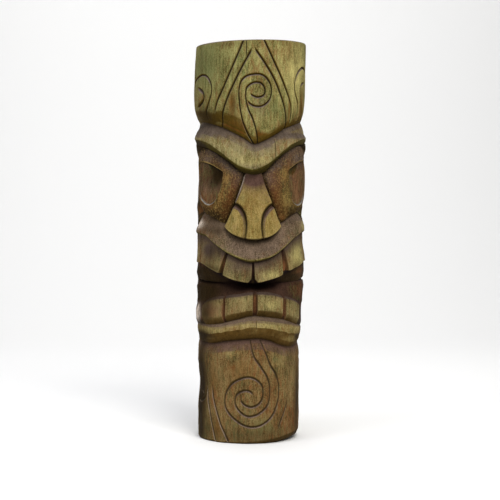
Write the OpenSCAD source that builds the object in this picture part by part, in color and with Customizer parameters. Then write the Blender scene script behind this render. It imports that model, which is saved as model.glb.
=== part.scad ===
// Tiki figure: a face carved round the front of one upright log.
// The heart and back of the log are one solid. Each form that the carver cut free with
// stop cuts (crown, brow, eye rims, nose, lips, teeth, jaws, chin) is a solid of its own,
// seated on the heart or on the form behind it.
//
// Millimetres. +Z is up, the face looks along -Y, and the origin is the centre of the base.
// A place on the log is [angle, height, depth]: the angle in degrees round the log from the
// face's centre line, positive towards +X; the height above the base; and the depth cut
// inward from the uncarved surface. Heights are given for a log 900 tall and scale with it.

/* [Log] */
// Height of the log
log_h = 900; // [600:10:1200]
// Radius of the uncarved log at its base
base_r = 117; // [105:1:135]
// Radius of the uncarved log at its top
top_r = 128; // [115:1:150]
// Radius of the solid heart behind the carving
heart_r = 66; // [50:1:68]

/* [Carving] */
// Half angle of the carved front, each way from the face's centre line
front_a = 112; // [108:1:118]
// Angle between the sections of a carved band
step_a = 4.5; // [4:0.5:8]
// Depth of the ground behind the nose and the eye rims, at the centre
ground_d = 28; // [24:1:34]
// Depth of the open mouth at the centre
mouth_d = 48; // [30:1:50]
// Gap left between two neighbouring forms
joint = 0.2; // [0.1:0.05:0.4]

/* [Base] */
// Rounding of the bottom edge of the front
base_round = 9; // [4:1:14]
// Depth of the chin below the uncarved surface
chin_d = 2.5; // [2:0.5:6]

/* [Hidden] */
design_h = 900;       // the height that the outlines are drawn for
fade_start_a = 92;    // past this angle the carving begins to die out
ring_steps = 40;      // sections round an eye rim
tooth_steps = 8;      // sections across a tooth

// Outlines as heights over the angle. Each is a smooth curve through these points.
brow_valley = [[-112, 726], [-75, 720], [-41, 706], [-13, 682], [0, 668],
               [9, 674], [24, 689], [42, 707], [77, 722], [112, 726]];
brow_edge = [[-112, 690], [-89, 683], [-57, 671], [-41, 654], [-27, 634], [-14, 620],
             [-1, 614], [12, 624], [22, 638], [31, 653], [44, 670], [73, 686], [112, 692]];
brow_foot = [[-112, 676], [-69, 663], [-50, 649], [-30, 627], [-15, 608], [0, 603],
             [12, 608], [26, 629], [40, 648], [63, 670], [112, 680]];
lip_valley = [[-112, 482], [-92, 494], [-71, 513], [-49, 499], [-38, 490], [-30, 470],
              [-16, 459], [0, 454], [14, 458], [28, 470], [36, 491], [50, 505],
              [69, 516], [90, 500], [112, 486]];
lip_edge = [[-112, 476], [-92, 473], [-63, 469], [-46, 449], [-32, 432], [-19, 420],
            [-4, 412], [13, 417], [24, 426], [37, 444], [53, 464], [72, 476], [112, 480]];
tooth_line = [[-112, 404], [-72, 402], [-52, 390], [-36, 377], [-20, 366], [0, 361],
              [18, 368], [34, 378], [46, 389], [60, 398], [76, 407], [112, 410]];
mouth_crease = [[-112, 362], [0, 357], [112, 367]];
lower_tooth_top = [[-112, 308], [-72, 315], [-54, 325], [-36, 331], [-17, 335], [1, 340],
                   [18, 339], [36, 332], [54, 324], [72, 314], [112, 308]];
lower_lip_top = [[-112, 256], [-86, 262], [-59, 264], [-41, 268], [-23, 277], [1, 286],
                 [20, 283], [39, 277], [65, 263], [84, 257], [112, 255]];
lower_lip_foot = [[-112, 222], [-57, 222], [-35, 229], [-12, 234], [5, 236], [21, 231],
                  [33, 222], [55, 214], [83, 222], [112, 224]];

// Eye rims: pairs of places, one on the rim's outer foot and one on its edge over the eye.
// Each row is [outer angle, height, depth], [inner angle, height, depth].
rim_left = [
    [[-15, 604, 22], [-38, 602, 11]], [[-18.5, 577, 19], [-38, 592, 9]],
    [[-23, 555, 18], [-40, 573, 8]], [[-28.5, 528, 18], [-43.5, 556, 7]],
    [[-37.5, 495, 19], [-48.5, 541, 6]], [[-50, 503, 16], [-54.5, 535, 6]],
    [[-62, 512, 14], [-61, 537, 5]], [[-71, 520, 12], [-68.5, 546, 4]],
    [[-82, 545, 10], [-74.5, 564, 3]], [[-90, 580, 8], [-79.5, 587, 2]],
    [[-92, 620, 8], [-83, 612, 2]], [[-87, 650, 10], [-80.5, 629, 3]],
    [[-74, 661, 16], [-66, 629, 5]], [[-58, 653, 20], [-54, 622, 8]],
    [[-42, 638, 22], [-46, 614, 10]], [[-28, 622, 23], [-41, 607, 11]]];
rim_right = [
    [[13.5, 604, 22], [40.5, 607, 11]], [[16.5, 580, 19], [40.5, 597, 9]],
    [[21, 556, 18], [42, 578, 8]], [[27, 527, 18], [45.5, 557, 7]],
    [[36.5, 496, 19], [50, 542, 6]], [[49, 507, 16], [57, 535, 6]],
    [[62, 517, 14], [65, 537, 5]], [[73, 523, 12], [73.5, 547, 4]],
    [[83, 545, 10], [79, 564, 3]], [[90, 580, 8], [83, 589, 2]],
    [[92, 620, 8], [85, 614, 2]], [[87, 652, 10], [81.5, 632, 3]],
    [[74, 666, 16], [69, 631, 5]], [[60, 666, 20], [57, 624, 8]],
    [[43, 649, 22], [48, 615, 10]], [[28, 629, 23], [43, 610, 11]]];
eye_sink_top = 11;    // how far an eye lies below its rim at the top
eye_sink_low = 3;     // and at the bottom
lip_under = 5;        // height of the slope under the upper lip

// Nose: half angles of its side at each height, and the depth of its ridge there.
nose_levels = [[602, 12.5, 24], [588, 14, 21], [560, 18.5, 15], [537, 22, 10.5], [525, 14.7, 9.5],
               [510, 10.2, 8], [493, 8.5, 6], [476, 8.7, 4], [465, 9.6, 3.5], [459, 8.6, 12]];
// Right nostril wing: pairs of places, one along the groove and one along the outer edge.
wing_pairs = [
    [[20.5, 534, 14], [24.5, 531, 13]], [[15, 525, 13], [26.5, 516, 11.5]],
    [[10.5, 510, 12], [29.5, 500, 10]], [[8.8, 493, 11], [33.5, 487, 9]],
    [[9, 476, 10], [24, 473, 7.5]], [[10.5, 463, 9], [13, 463, 7]]];

// Teeth: [left angle at the top, right at the top, left at the bottom, right at the bottom]
upper_teeth = [[-104, -76, -104, -75], [-73, -34.5, -72, -41], [-31, -2.2, -36, -3.2],
               [1.4, 34, 2.4, 34.5], [38, 71, 43.5, 74.5], [75, 104, 78, 104]];
lower_teeth = [[-74, -37.5, -72, -37], [-34, -1, -33, -1], [5.2, 37.5, 5.2, 37], [43, 70.5, 43.5, 69]];

// Surface of the uncarved log, and a place on it as a point.
function scale_z(z) = z * log_h / design_h;
function log_r(z) = base_r + (top_r - base_r) * z / design_h;
function place(a, z, r) = [r * sin(a), -r * cos(a), scale_z(z)];
function cut(p) = place(p[0], p[1], log_r(p[1]) - p[2]);

// Blends: a share of the way from one value to another, and the carving's front weight,
// 1 on the centre line and 0 at the sides, and its fade to nothing at the back.
function mix(a, b, t) = a + (b - a) * t;
function front(a) = pow(max(0, cos(a)), 1.3);
function smooth(t) = let (u = min(1, max(0, t))) u * u * (3 - 2 * u);
function fade(a) = 1 - smooth((abs(a) - fade_start_a) / (front_a - fade_start_a));
function depth(a, centre, side) = mix(side, centre, front(a)) * fade(a);
function ground(a) = depth(a, ground_d, 10);
function jaw(a) = depth(a, 18, 4);

// A smooth curve through points [angle, value]: a cubic on each span, whose slope at a
// point is the harmonic mean of the two spans beside it, so that it never overshoots.
function slope(p, i) = (p[i + 1][1] - p[i][1]) / (p[i + 1][0] - p[i][0]);
function tangent(p, i) =
    i == 0 ? slope(p, 0) :
    i == len(p) - 1 ? slope(p, i - 1) :
    let (a = slope(p, i - 1), b = slope(p, i)) a * b <= 0 ? 0 : 2 * a * b / (a + b);
function span(p, a) = max([for (i = [0 : len(p) - 2]) a >= p[i][0] ? i : 0]);
function curve(p, a) =
    let (i = span(p, a), h = p[i + 1][0] - p[i][0], t = (a - p[i][0]) / h)
    p[i][1] * (1 + 2 * t) * (1 - t) * (1 - t) + h * tangent(p, i) * t * (1 - t) * (1 - t)
    + p[i + 1][1] * t * t * (3 - 2 * t) - h * tangent(p, i + 1) * t * t * (1 - t);

// A closed smooth loop through a list of vectors, at t from 0 to the list's length.
function round_loop(p, t) =
    let (n = len(p), i = floor(t), u = t - i,
         a = p[(i + n - 1) % n], b = p[i % n], c = p[(i + 1) % n], d = p[(i + 2) % n])
    0.5 * (2 * b + (c - a) * u + (2 * a - 5 * b + 4 * c - d) * u * u
           + (3 * b - a - 3 * c + d) * u * u * u);

// One closed solid from a list of sections, each a closed ring of points of equal count.
// The last section joins the first if the sweep is closed; otherwise the ends are capped.
module sweep(sections, closed = false) {
    n = len(sections);
    m = len(sections[0]);
    points = [for (s = sections) each s];
    sides = [for (i = [0 : closed ? n - 1 : n - 2], j = [0 : m - 1])
        let (k = (i + 1) % n, l = (j + 1) % m)
        each [[i * m + j, k * m + l, k * m + j], [i * m + j, i * m + l, k * m + l]]];
    caps = closed ? [] : [[for (j = [m - 1 : -1 : 0]) j], [for (j = [0 : m - 1]) (n - 1) * m + j]];
    polyhedron(points, concat(sides, caps));
}

// A band round the front, from its top outline to its lowest. At each angle, rails(a) gives
// its [height, depth] places from the top down; the solid runs back to the heart.
module band(angles, rails_at) {
    sweep([for (i = [0 : len(angles) - 1])
        let (a = angles[i], rails = rails_at[i], last = len(rails) - 1, seat = heart_r + 3 * joint)
        concat(
            [for (k = [0 : last])
                cut([a, rails[k][0] + (k == 0 ? -joint / 2 : k == last ? joint / 2 : 0), rails[k][1]])],
            [place(a, rails[last][0] + joint / 2, seat), place(a, rails[0][0] - joint / 2, seat)])]);
}

// Angles of a band's sections, evenly spaced over the carved front.
end_a = front_a - 0.15;
band_n = 2 * ceil(end_a / step_a);
band_angles = [for (i = [0 : band_n]) -end_a + 2 * end_a * i / band_n];

// A raised form seated on the surface behind it: sections of [angle, height, depth, depth of
// that surface]. The form's foot never goes below the surface that it sits on.
module relief(sections, closed = false) {
    sweep([for (s = sections) concat(
        [for (p = s) cut([p[0], p[1], min(p[2], p[3] - 1)])],
        [for (j = [len(s) - 1 : -1 : 0]) cut([s[j][0], s[j][1], s[j][3] - 3 * joint])])], closed);
}

// Place i of a rim's loop: on its outer foot (side 0) or on its edge over the eye (side 1).
function loop_at(pairs, side, i) =
    round_loop([for (p = pairs) p[side]], i * len(pairs) / ring_steps);
function turned(list) = [for (i = [len(list) - 1 : -1 : 0]) list[i]];

module log_body() {
    color("peru") {
        cylinder(h = log_h, r = heart_r, $fn = 96);
        difference() {
            cylinder(h = log_h, r1 = base_r, r2 = top_r, $fn = 128);
            translate([0, 0, -1])
                linear_extrude(log_h + 2)
                    polygon(concat([[0, 0]], [for (i = [-4 : 4])
                        2 * top_r * [sin(i * front_a / 4), -cos(i * front_a / 4)]]));
        }
    }
}

module crown() {
    color("darkkhaki")
        band(band_angles, [for (a = band_angles) let (v = curve(brow_valley, a))
            [[design_h + joint / 2, 0], [v + 95, 0], [v + 50, depth(a, 1, 1)],
             [v + 20, depth(a, 7, 6)], [v, depth(a, 15, 12)]]]);
}

module brow() {
    color("khaki")
        band(band_angles, [for (a = band_angles)
            let (v = curve(brow_valley, a), e = curve(brow_edge, a), f = curve(brow_foot, a))
            [[v, depth(a, 15, 12)], [mix(v, e, 0.35), depth(a, 7, 5)],
             [mix(v, e, 0.75), depth(a, 2, 0)], [e, depth(a, 2, 0)], [f, depth(a, 24, 10)]]]);
}

module face_ground() {
    color("saddlebrown")
        band(band_angles, [for (a = band_angles)
            let (f = curve(brow_foot, a), v = curve(lip_valley, a))
            [[f, ground(a)], [mix(f, v, 0.5), ground(a)], [v, ground(a)]]]);
}

// An eye's rim: a ring that rises from its foot to the edge over the sunken eye.
module eye_rim(pairs) {
    color("sienna")
        relief([for (i = [0 : ring_steps - 1])
            let (foot = loop_at(pairs, 0, i), edge = loop_at(pairs, 1, i))
            [for (s = [[0, 0], [0.3, 0.52], [0.65, 0.88], [1, 1]])
                let (q = mix(foot, edge, s[0]))
                [q[0], q[1], mix(foot[2], edge[2], s[1]), ground(q[0])]]], true);
}

// A sunken eye: a tilted face inside the rim, deeper at the top than at the bottom. Its front
// and its back are rings of places round a middle place.
module eye(pairs) {
    n = ring_steps;
    edge = [for (i = [0 : n - 1]) loop_at(pairs, 1, i)];
    top = max([for (p = edge) p[1]]);
    low = min([for (p = edge) p[1]]);
    middle = [for (p = edge) 1 / n] * edge;
    sunk = function (q) cut([q[0], q[1],
        min(q[2] + mix(eye_sink_low, eye_sink_top, (q[1] - low) / (top - low)), ground(q[0]) - 3)]);
    seat = function (q) cut([q[0], q[1], ground(q[0]) - 3 * joint]);
    shares = [0.35, 0.7, 0.98];
    rings = concat(
        [for (s = shares) [for (p = edge) sunk(mix(middle, p, s))]],
        [for (s = turned(shares)) [for (p = edge) seat(mix(middle, p, s))]]);
    last = len(rings) * n;
    points = concat([for (r = rings) each r], [sunk(middle), seat(middle)]);
    color("rosybrown")
        polyhedron(points, concat(
            [for (i = [0 : len(rings) - 2], j = [0 : n - 1]) let (k = (j + 1) % n)
                each [[i * n + j, (i + 1) * n + k, (i + 1) * n + j], [i * n + j, i * n + k, (i + 1) * n + k]]],
            [for (j = [0 : n - 1]) let (k = (j + 1) % n)
                each [[last, k, j], [last + 1, last - n + j, last - n + k]]]));
}

// The ridge of the nose, from its root under the brow to its tip over the lip.
module nose_bridge() {
    color("darkkhaki")
        relief([for (l = nose_levels)
            [for (s = [1, 0.6, 0.2, -0.2, -0.6, -1])
                let (a = s * l[1]) [a, l[0], l[2] + 1.5 * s * s, ground(a)]]]);
}

// A nostril wing beside the ridge: side is 1 for the right one and -1 for the left.
module nostril(side) {
    color("darkkhaki")
        relief([for (w = side > 0 ? turned(wing_pairs) : wing_pairs)
            [for (s = [0, 0.3, 0.7, 1])
                let (q = mix(w[0], w[1], s), a = side * (q[0] + 2 * joint))
                [a, q[1], q[2] - 2 * sin(180 * s), ground(a)]]]);
}

// The upper lip: a broad slope up to a hanging edge, and the slope back under it.
module upper_lip() {
    color("rosybrown")
        band(band_angles, [for (a = band_angles)
            let (v = curve(lip_valley, a), e = curve(lip_edge, a))
            [[v, depth(a, 20, 9)], [mix(v, e, 0.3), depth(a, 13, 4)],
             [mix(v, e, 0.85), depth(a, 4, 0.5)], [e, depth(a, 3, 0.5)],
             [e - lip_under, depth(a, 14, 3)]]]);
}

// The bed that the upper teeth sit on, and the roof of the mouth down to its crease.
module upper_jaw() {
    color("saddlebrown")
        band(band_angles, [for (a = band_angles)
            let (e = curve(lip_edge, a) - lip_under, l = curve(tooth_line, a) + 2)
            [[e, jaw(a)], [l, jaw(a)], [curve(mouth_crease, a), depth(a, mouth_d, 9)]]]);
}

// An upper tooth: it comes forward from under the lip to its lower edge.
module upper_tooth(t) {
    color("darkkhaki")
        relief([for (i = [0 : tooth_steps]) let (u = i / tooth_steps, worn = pow(abs(2 * u - 1), 4))
            [for (v = [0, 0.35, 0.85, 1])
                let (a = mix(mix(t[0], t[1], u), mix(t[2], t[3], u), v),
                     z = mix(curve(lip_edge, a) - lip_under - joint, curve(tooth_line, a) + joint, v))
                [a, z, jaw(a) * mix(0.8, 0.35, v) + 2 * worn * v, jaw(a)]]]);
}

// The floor of the mouth up to the bed that the lower teeth sit on.
module lower_jaw() {
    color("saddlebrown")
        band(band_angles, [for (a = band_angles)
            let (c = curve(mouth_crease, a), t = curve(lower_tooth_top, a), l = curve(lower_lip_top, a))
            [[c, depth(a, mouth_d, 9)], [mix(c, t, 0.3), depth(a, 38, 2)],
             [t + 1, jaw(a)], [l, jaw(a)]]]);
}

// A lower tooth: a block with a bevelled top, leaning back to the lower lip.
module lower_tooth(t) {
    color("darkkhaki")
        relief([for (i = [0 : tooth_steps]) let (u = i / tooth_steps, worn = pow(abs(2 * u - 1), 4))
            [for (v = [[0, 0.85], [0.14, 0.6], [0.7, 0.6], [1, 0.85]])
                let (a = mix(mix(t[0], t[1], u), mix(t[2], t[3], u), v[0]),
                     z = mix(curve(lower_tooth_top, a), curve(lower_lip_top, a) + joint, v[0]))
                [a, z, jaw(a) * v[1] + worn, jaw(a)]]]);
}

module lower_lip() {
    color("olive")
        band(band_angles, [for (a = band_angles)
            let (t = curve(lower_lip_top, a), f = curve(lower_lip_foot, a))
            [[t, depth(a, 18, 6)], [mix(t, f, 0.2), depth(a, 8, 4)],
             [mix(t, f, 0.55), depth(a, 4, 2)], [mix(t, f, 0.85), depth(a, 8, 5)],
             [f, depth(a, 17, 10)]]]);
}

module chin() {
    color("peru")
        band(band_angles, [for (a = band_angles) let (f = curve(lower_lip_foot, a), d = chin_d * fade(a))
            [[f, depth(a, 17, 10)], [f - 12, depth(a, 11, 8)], [f - 40, d], [base_round, d],
             [0.3 * base_round, d + 0.3 * base_round * fade(a)],
             [-joint / 2, d + base_round * fade(a)]]]);
}

log_body();
crown();
brow();
face_ground();
eye_rim(rim_left);  // eye_rim_left
eye_rim(turned(rim_right));  // eye_rim_right
eye(turned(rim_left));  // eye_left
eye(rim_right);  // eye_right
nose_bridge();
nostril(-1);  // nostril_left
nostril(1);  // nostril_right
upper_lip();
upper_jaw();
upper_tooth(upper_teeth[0]);  // upper_tooth_1
upper_tooth(upper_teeth[1]);  // upper_tooth_2
upper_tooth(upper_teeth[2]);  // upper_tooth_3
upper_tooth(upper_teeth[3]);  // upper_tooth_4
upper_tooth(upper_teeth[4]);  // upper_tooth_5
upper_tooth(upper_teeth[5]);  // upper_tooth_6
lower_jaw();
lower_tooth(lower_teeth[0]);  // lower_tooth_1
lower_tooth(lower_teeth[1]);  // lower_tooth_2
lower_tooth(lower_teeth[2]);  // lower_tooth_3
lower_tooth(lower_teeth[3]);  // lower_tooth_4
lower_lip();
chin();
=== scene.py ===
import logging
import math
from dataclasses import dataclass
from enum import Enum
from typing import Callable

import bpy
import numpy as np
from mathutils import Matrix, Vector


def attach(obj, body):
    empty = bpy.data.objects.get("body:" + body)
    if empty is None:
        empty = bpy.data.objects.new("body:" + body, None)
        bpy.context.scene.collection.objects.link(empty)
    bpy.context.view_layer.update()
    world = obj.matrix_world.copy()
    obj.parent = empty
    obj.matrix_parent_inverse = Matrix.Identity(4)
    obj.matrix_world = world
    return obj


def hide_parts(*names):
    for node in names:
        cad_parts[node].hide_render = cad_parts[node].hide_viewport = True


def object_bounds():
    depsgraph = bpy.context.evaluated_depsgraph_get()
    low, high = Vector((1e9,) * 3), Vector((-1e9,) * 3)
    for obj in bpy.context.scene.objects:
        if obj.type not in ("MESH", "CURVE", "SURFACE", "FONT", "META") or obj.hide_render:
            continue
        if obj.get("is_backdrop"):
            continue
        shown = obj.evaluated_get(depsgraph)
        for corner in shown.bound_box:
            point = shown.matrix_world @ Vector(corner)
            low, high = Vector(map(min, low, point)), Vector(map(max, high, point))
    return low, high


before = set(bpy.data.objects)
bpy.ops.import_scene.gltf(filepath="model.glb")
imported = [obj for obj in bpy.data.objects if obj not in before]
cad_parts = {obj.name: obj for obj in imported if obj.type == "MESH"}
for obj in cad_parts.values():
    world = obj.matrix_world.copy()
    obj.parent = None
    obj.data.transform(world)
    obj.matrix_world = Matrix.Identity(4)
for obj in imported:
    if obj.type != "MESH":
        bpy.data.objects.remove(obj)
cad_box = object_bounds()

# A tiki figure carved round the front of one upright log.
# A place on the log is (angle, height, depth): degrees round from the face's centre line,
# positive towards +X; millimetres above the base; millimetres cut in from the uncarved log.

Array = np.ndarray
Places = tuple[tuple[float, ...], ...]
Rails = list[tuple[Array | float, Array | float]]
Triple = tuple[float, float, float]
Colour = Triple
log = logging.getLogger("tiki")
DEG = math.pi / 180.0
MM = 0.001
LOG_TOP = float(round(cad_box[1][2] / MM))  # height of the log
LOG_TOP_R = float(round(cad_box[1][0] / MM))  # its radius at the top
LOG_MEAN_R = 120.0  # its usual radius, for patterns that don't need the true one
ARC = 2.15  # millimetres round the uncarved log in one degree
ARC_IN = 2.1  # the same a little way in, at the carving
FULL_FRONT = 98.0  # angle to which the front is cut in even columns

# Outlines that two neighbouring forms share: heights over the angle.
BROW_VALLEY: Places = (
    (-112, 726), (-75, 722), (-41, 709), (-13, 685), (0, 671),
    (9, 677), (24, 692), (42, 710), (77, 724), (112, 726))
BROW_EDGE: Places = (
    (-112, 690), (-89, 686), (-57, 675), (-41, 657), (-27, 636), (-14, 620),
    (-1, 614), (12, 624), (22, 639), (31, 655), (44, 673), (73, 689), (112, 692))
BROW_FOOT: Places = (
    (-112, 676), (-69, 666), (-50, 652), (-30, 628), (-15, 608), (0, 603),
    (12, 608), (26, 630), (40, 651), (63, 672), (112, 680))
LIP_VALLEY: Places = (
    (-112, 484), (-92, 497), (-71, 516), (-49, 502), (-38, 492), (-30, 471),
    (-16, 459), (0, 454), (14, 458), (28, 470), (36, 491), (50, 505),
    (69, 516), (90, 500), (112, 486))
LIP_EDGE: Places = (
    (-112, 476), (-92, 473), (-63, 469), (-46, 449), (-32, 432), (-19, 420),
    (-4, 412), (13, 417), (24, 426), (37, 444), (53, 464), (72, 476), (112, 480))
TOOTH_LINE: Places = (
    (-112, 404), (-72, 402), (-52, 390), (-36, 377), (-20, 366), (0, 361),
    (18, 368), (34, 378), (46, 389), (60, 398), (76, 407), (112, 410))
MOUTH_CREASE: Places = ((-112, 362), (0, 357), (112, 367))
LOWER_TEETH_TOP: Places = (
    (-112, 308), (-72, 315), (-54, 325), (-36, 331), (-17, 335), (1, 340),
    (18, 339), (36, 332), (54, 324), (72, 314), (112, 308))
LOWER_LIP_TOP: Places = (
    (-112, 256), (-86, 262), (-59, 264), (-41, 268), (-23, 277), (1, 286),
    (20, 283), (39, 277), (65, 263), (84, 257), (112, 255))
LOWER_LIP_FOOT: Places = (
    (-112, 222), (-57, 222), (-35, 229), (-12, 234), (5, 236), (21, 231),
    (33, 222), (55, 214), (83, 222), (112, 224))


# ---------------------------------------------------------------- curves and fields

def ease(x: Array) -> Array:
    """0 below 0, 1 above 1, and the cubic 3x^2 - 2x^3 between them."""
    x = np.clip(x, 0.0, 1.0)
    return x * x * (3.0 - 2.0 * x)


def outline(points: Places, at: Array) -> Array:
    """Value of an outline: on each span a cubic, whose slope at a point is the harmonic mean
    of the slopes of the two spans beside it, so that it never overshoots.

    Args:
        points: (position, value) pairs in order of position.
        at: positions to work out.

    Returns:
        The values, in at's shape.
    """
    x, y = np.asarray(points, float).T
    h = np.diff(x)
    s = np.diff(y) / h
    both = s[:-1] * s[1:]
    total = np.where(both > 0.0, s[:-1] + s[1:], 1.0)
    m = np.concatenate([s[:1], np.where(both > 0.0, 2.0 * both / total, 0.0), s[-1:]])
    i = np.clip(np.searchsorted(x, at, side="right") - 1, 0, len(h) - 1)
    t = np.clip((at - x[i]) / h[i], 0.0, 1.0)
    u = 1.0 - t
    return (y[i] * (1.0 + 2.0 * t) * u * u + h[i] * m[i] * t * u * u
            + y[i + 1] * t * t * (3.0 - 2.0 * t) - h[i] * m[i + 1] * t * t * u)


def through(points: Array, t: Array, closed: bool) -> Array:
    """Catmull-Rom curve through a list of vectors: on each span a cubic that passes through
    its two ends with the slope of the chord between their neighbours.

    Args:
        points: one vector a row.
        t: positions along the list, one unit a span.
        closed: whether the last point joins the first.

    Returns:
        One vector for each t.
    """
    n = len(points)
    i = np.floor(t).astype(int)
    if not closed:
        i = np.clip(i, 0, n - 2)
    u = (t - i)[:, None]

    def at(k: Array) -> Array:
        """The points of those numbers, round the loop or held at the ends."""
        return points[k % n] if closed else points[np.clip(k, 0, n - 1)]

    a, b, c, d = at(i - 1), at(i), at(i + 1), at(i + 2)
    return 0.5 * (2.0 * b + (c - a) * u + (2.0 * a - 5.0 * b + 4.0 * c - d) * u * u
                  + (3.0 * b - a - 3.0 * c + d) * u ** 3)


def uneven(a: Array, z: Array | float, cell: float, seed: int, tall: float = 1.0) -> Array:
    """Smooth random field on the log, -1 to 1: values on a cubic lattice in space, blended
    between the eight lattice points round a place by the ease curve.

    Args:
        a: angles.
        z: heights.
        cell: lattice spacing in millimetres.
        seed: which field.
        tall: how much longer the lattice is upright than across.

    Returns:
        The field, in a's shape.
    """
    size = 40
    lattice = np.random.default_rng(seed).uniform(-1.0, 1.0, (size, size, size))
    p = [LOG_MEAN_R * np.sin(a * DEG) / cell, -LOG_MEAN_R * np.cos(a * DEG) / cell, z / (cell * tall)]
    low = [np.floor(c).astype(int) for c in p]
    part = [ease(c - f) for c, f in zip(p, low)]
    total = np.zeros(np.broadcast(a, z).shape)
    for dx in (0, 1):
        for dy in (0, 1):
            for dz in (0, 1):
                share = ((part[0] if dx else 1.0 - part[0]) * (part[1] if dy else 1.0 - part[1])
                         * (part[2] if dz else 1.0 - part[2]))
                total += share * lattice[(low[0] + dx) % size, (low[1] + dy) % size,
                                         (low[2] + dz) % size]
    return total


def soften(field: Array, axis: int, width: float) -> Array:
    """Rounds a grid's arrises: each value becomes the mean of its neighbours along one axis,
    weighted by a bell curve. The two ends stay where they are.

    Args:
        field: values on a grid.
        axis: which way to average.
        width: standard deviation of the bell curve, in grid steps.

    Returns:
        The softened grid.
    """
    if width <= 0.0:
        return field
    reach = int(3 * width) + 1
    k = np.arange(-reach, reach + 1)
    bell = np.exp(-0.5 * (k / width) ** 2)
    bell /= bell.sum()
    f = np.moveaxis(field, axis, 0)
    n = len(f)
    before = 2.0 * f[0] - f[np.clip(np.arange(reach, 0, -1), 0, n - 1)]
    after = 2.0 * f[-1] - f[np.clip(np.arange(n - 2, n - 2 - reach, -1), 0, n - 1)]
    wide = np.concatenate([before, f, after])
    out = sum(w * wide[i:i + n] for i, w in enumerate(bell))
    return np.moveaxis(out, 0, axis)


# ---------------------------------------------------------------- the log and its cuts

@dataclass(frozen=True)
class Log:
    """The uncarved log: a cone with natural waves, its top sawn a little out of square."""

    base_r: float = 117.0
    top_r: float = LOG_TOP_R
    height: float = LOG_TOP
    heart_r: float = 66.0
    front_a: float = 111.85
    top_slope: float = 0.030
    waves: float = 0.9
    left_side: Places = (
        (0, 1.5), (69, 0.8), (130, -4.4), (165, -1.6), (208, 3.4), (236, 0.0), (250, 2.8), (277, 8.0),
        (291, 7.6), (319, 1.6), (375, 4.0), (430, 0.6), (472, 1.6), (499, -0.8), (555, 2.0), (600, -3.6),
        (640, -1.0), (666, 4.2), (680, 4.6), (707, -1.6), (721, -3.8), (735, 2.4), (749, 4.6),
        (791, 4.2), (848, 2.0), (890, -1.0), (900, -1.8))
    right_side: Places = (
        (0, -4.6), (14, -1.0), (125, -2.4), (180, -3.2), (208, 0.0), (222, -0.4), (236, -2.4), (266, 4.0),
        (291, 2.6), (319, 2.6), (375, 6.4), (402, 7.6), (458, 1.4), (499, 3.6), (513, 0.2), (541, 3.4),
        (610, 3.0), (638, 0.8), (666, 7.0), (682, 5.6), (700, -2.4), (900, -2.4))

    def radius(self, a: Array, z: Array) -> Array:
        """Radius of the uncarved log: the cone, plus how far its left and right sides stray
        (each weighted by the sine of the angle to the power 1.6), plus slow waves.

        Args:
            a: angles.
            z: heights.

        Returns:
            Radii in millimetres.
        """
        cone = self.base_r + (self.top_r - self.base_r) * z / self.height
        s = np.sin(a * DEG)
        stray = (outline(self.left_side, z) * np.maximum(0.0, -s) ** 1.6
                 + outline(self.right_side, z) * np.maximum(0.0, s) ** 1.6)
        return cone + stray + self.waves * uneven(a, z, 70.0, 3, 2.0)

    def place(self, a: Array, z: Array, depth: Array) -> Array:
        """Points in space: the angle round the axis, at the log's radius less the depth. The
        top is raised by its slope times x, growing from nothing at 760 to the whole at 900.

        Args:
            a: angles.
            z: heights.
            depth: depths below the uncarved log.

        Returns:
            Points in millimetres, one a row.
        """
        r = self.radius(a, z) - depth
        x, y = r * np.sin(a * DEG), -r * np.cos(a * DEG)
        z = z + self.top_slope * x * ease((z - 760.0) / 140.0)
        return np.stack([x, y, z], -1)


def front(a: Array) -> Array:
    """Weight of the carving's centre: the cosine of the angle to the power 1.3, 0 behind."""
    return np.maximum(0.0, np.cos(a * DEG)) ** 1.3


def fade(a: Array) -> Array:
    """1 over the carved front, easing to 0 where the carving dies out into the back."""
    return 1.0 - ease((np.abs(a) - 92.0) / 20.0)


def cut(a: Array, centre: float, left: float, right: float | None = None) -> Array:
    """Depth of a cut that is so deep at the centre and so deep at each side.

    Args:
        a: angles.
        centre: depth on the centre line.
        left: depth at the left side.
        right: depth at the right side, the left's if it isn't given.

    Returns:
        Depths, dying out towards the back.
    """
    side = np.where(a < 0.0, left, left if right is None else right)
    return (side + (centre - side) * front(a)) * fade(a)


def steps(a: Array, top: Array, low: Array, profile: Places) -> Rails:
    """Rails of a profile between two outlines.

    Args:
        a: angles.
        top: heights of the upper outline.
        low: heights of the lower outline.
        profile: for each rail its share of the way down, and its depth at the centre, at the
            left and, where it differs, at the right.

    Returns:
        A (height, depth) rail for each step.
    """
    return [(top + share * (low - top), cut(a, *depths)) for share, *depths in profile]


def ground(a: Array) -> Array:
    """Depth of the ground behind the nose and the eyes."""
    return cut(a, 28.0, 10.0)


def tooth_bed(a: Array) -> Array:
    """Depth of the bed that the teeth stand on."""
    return cut(a, 19.0, 4.5)


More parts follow.
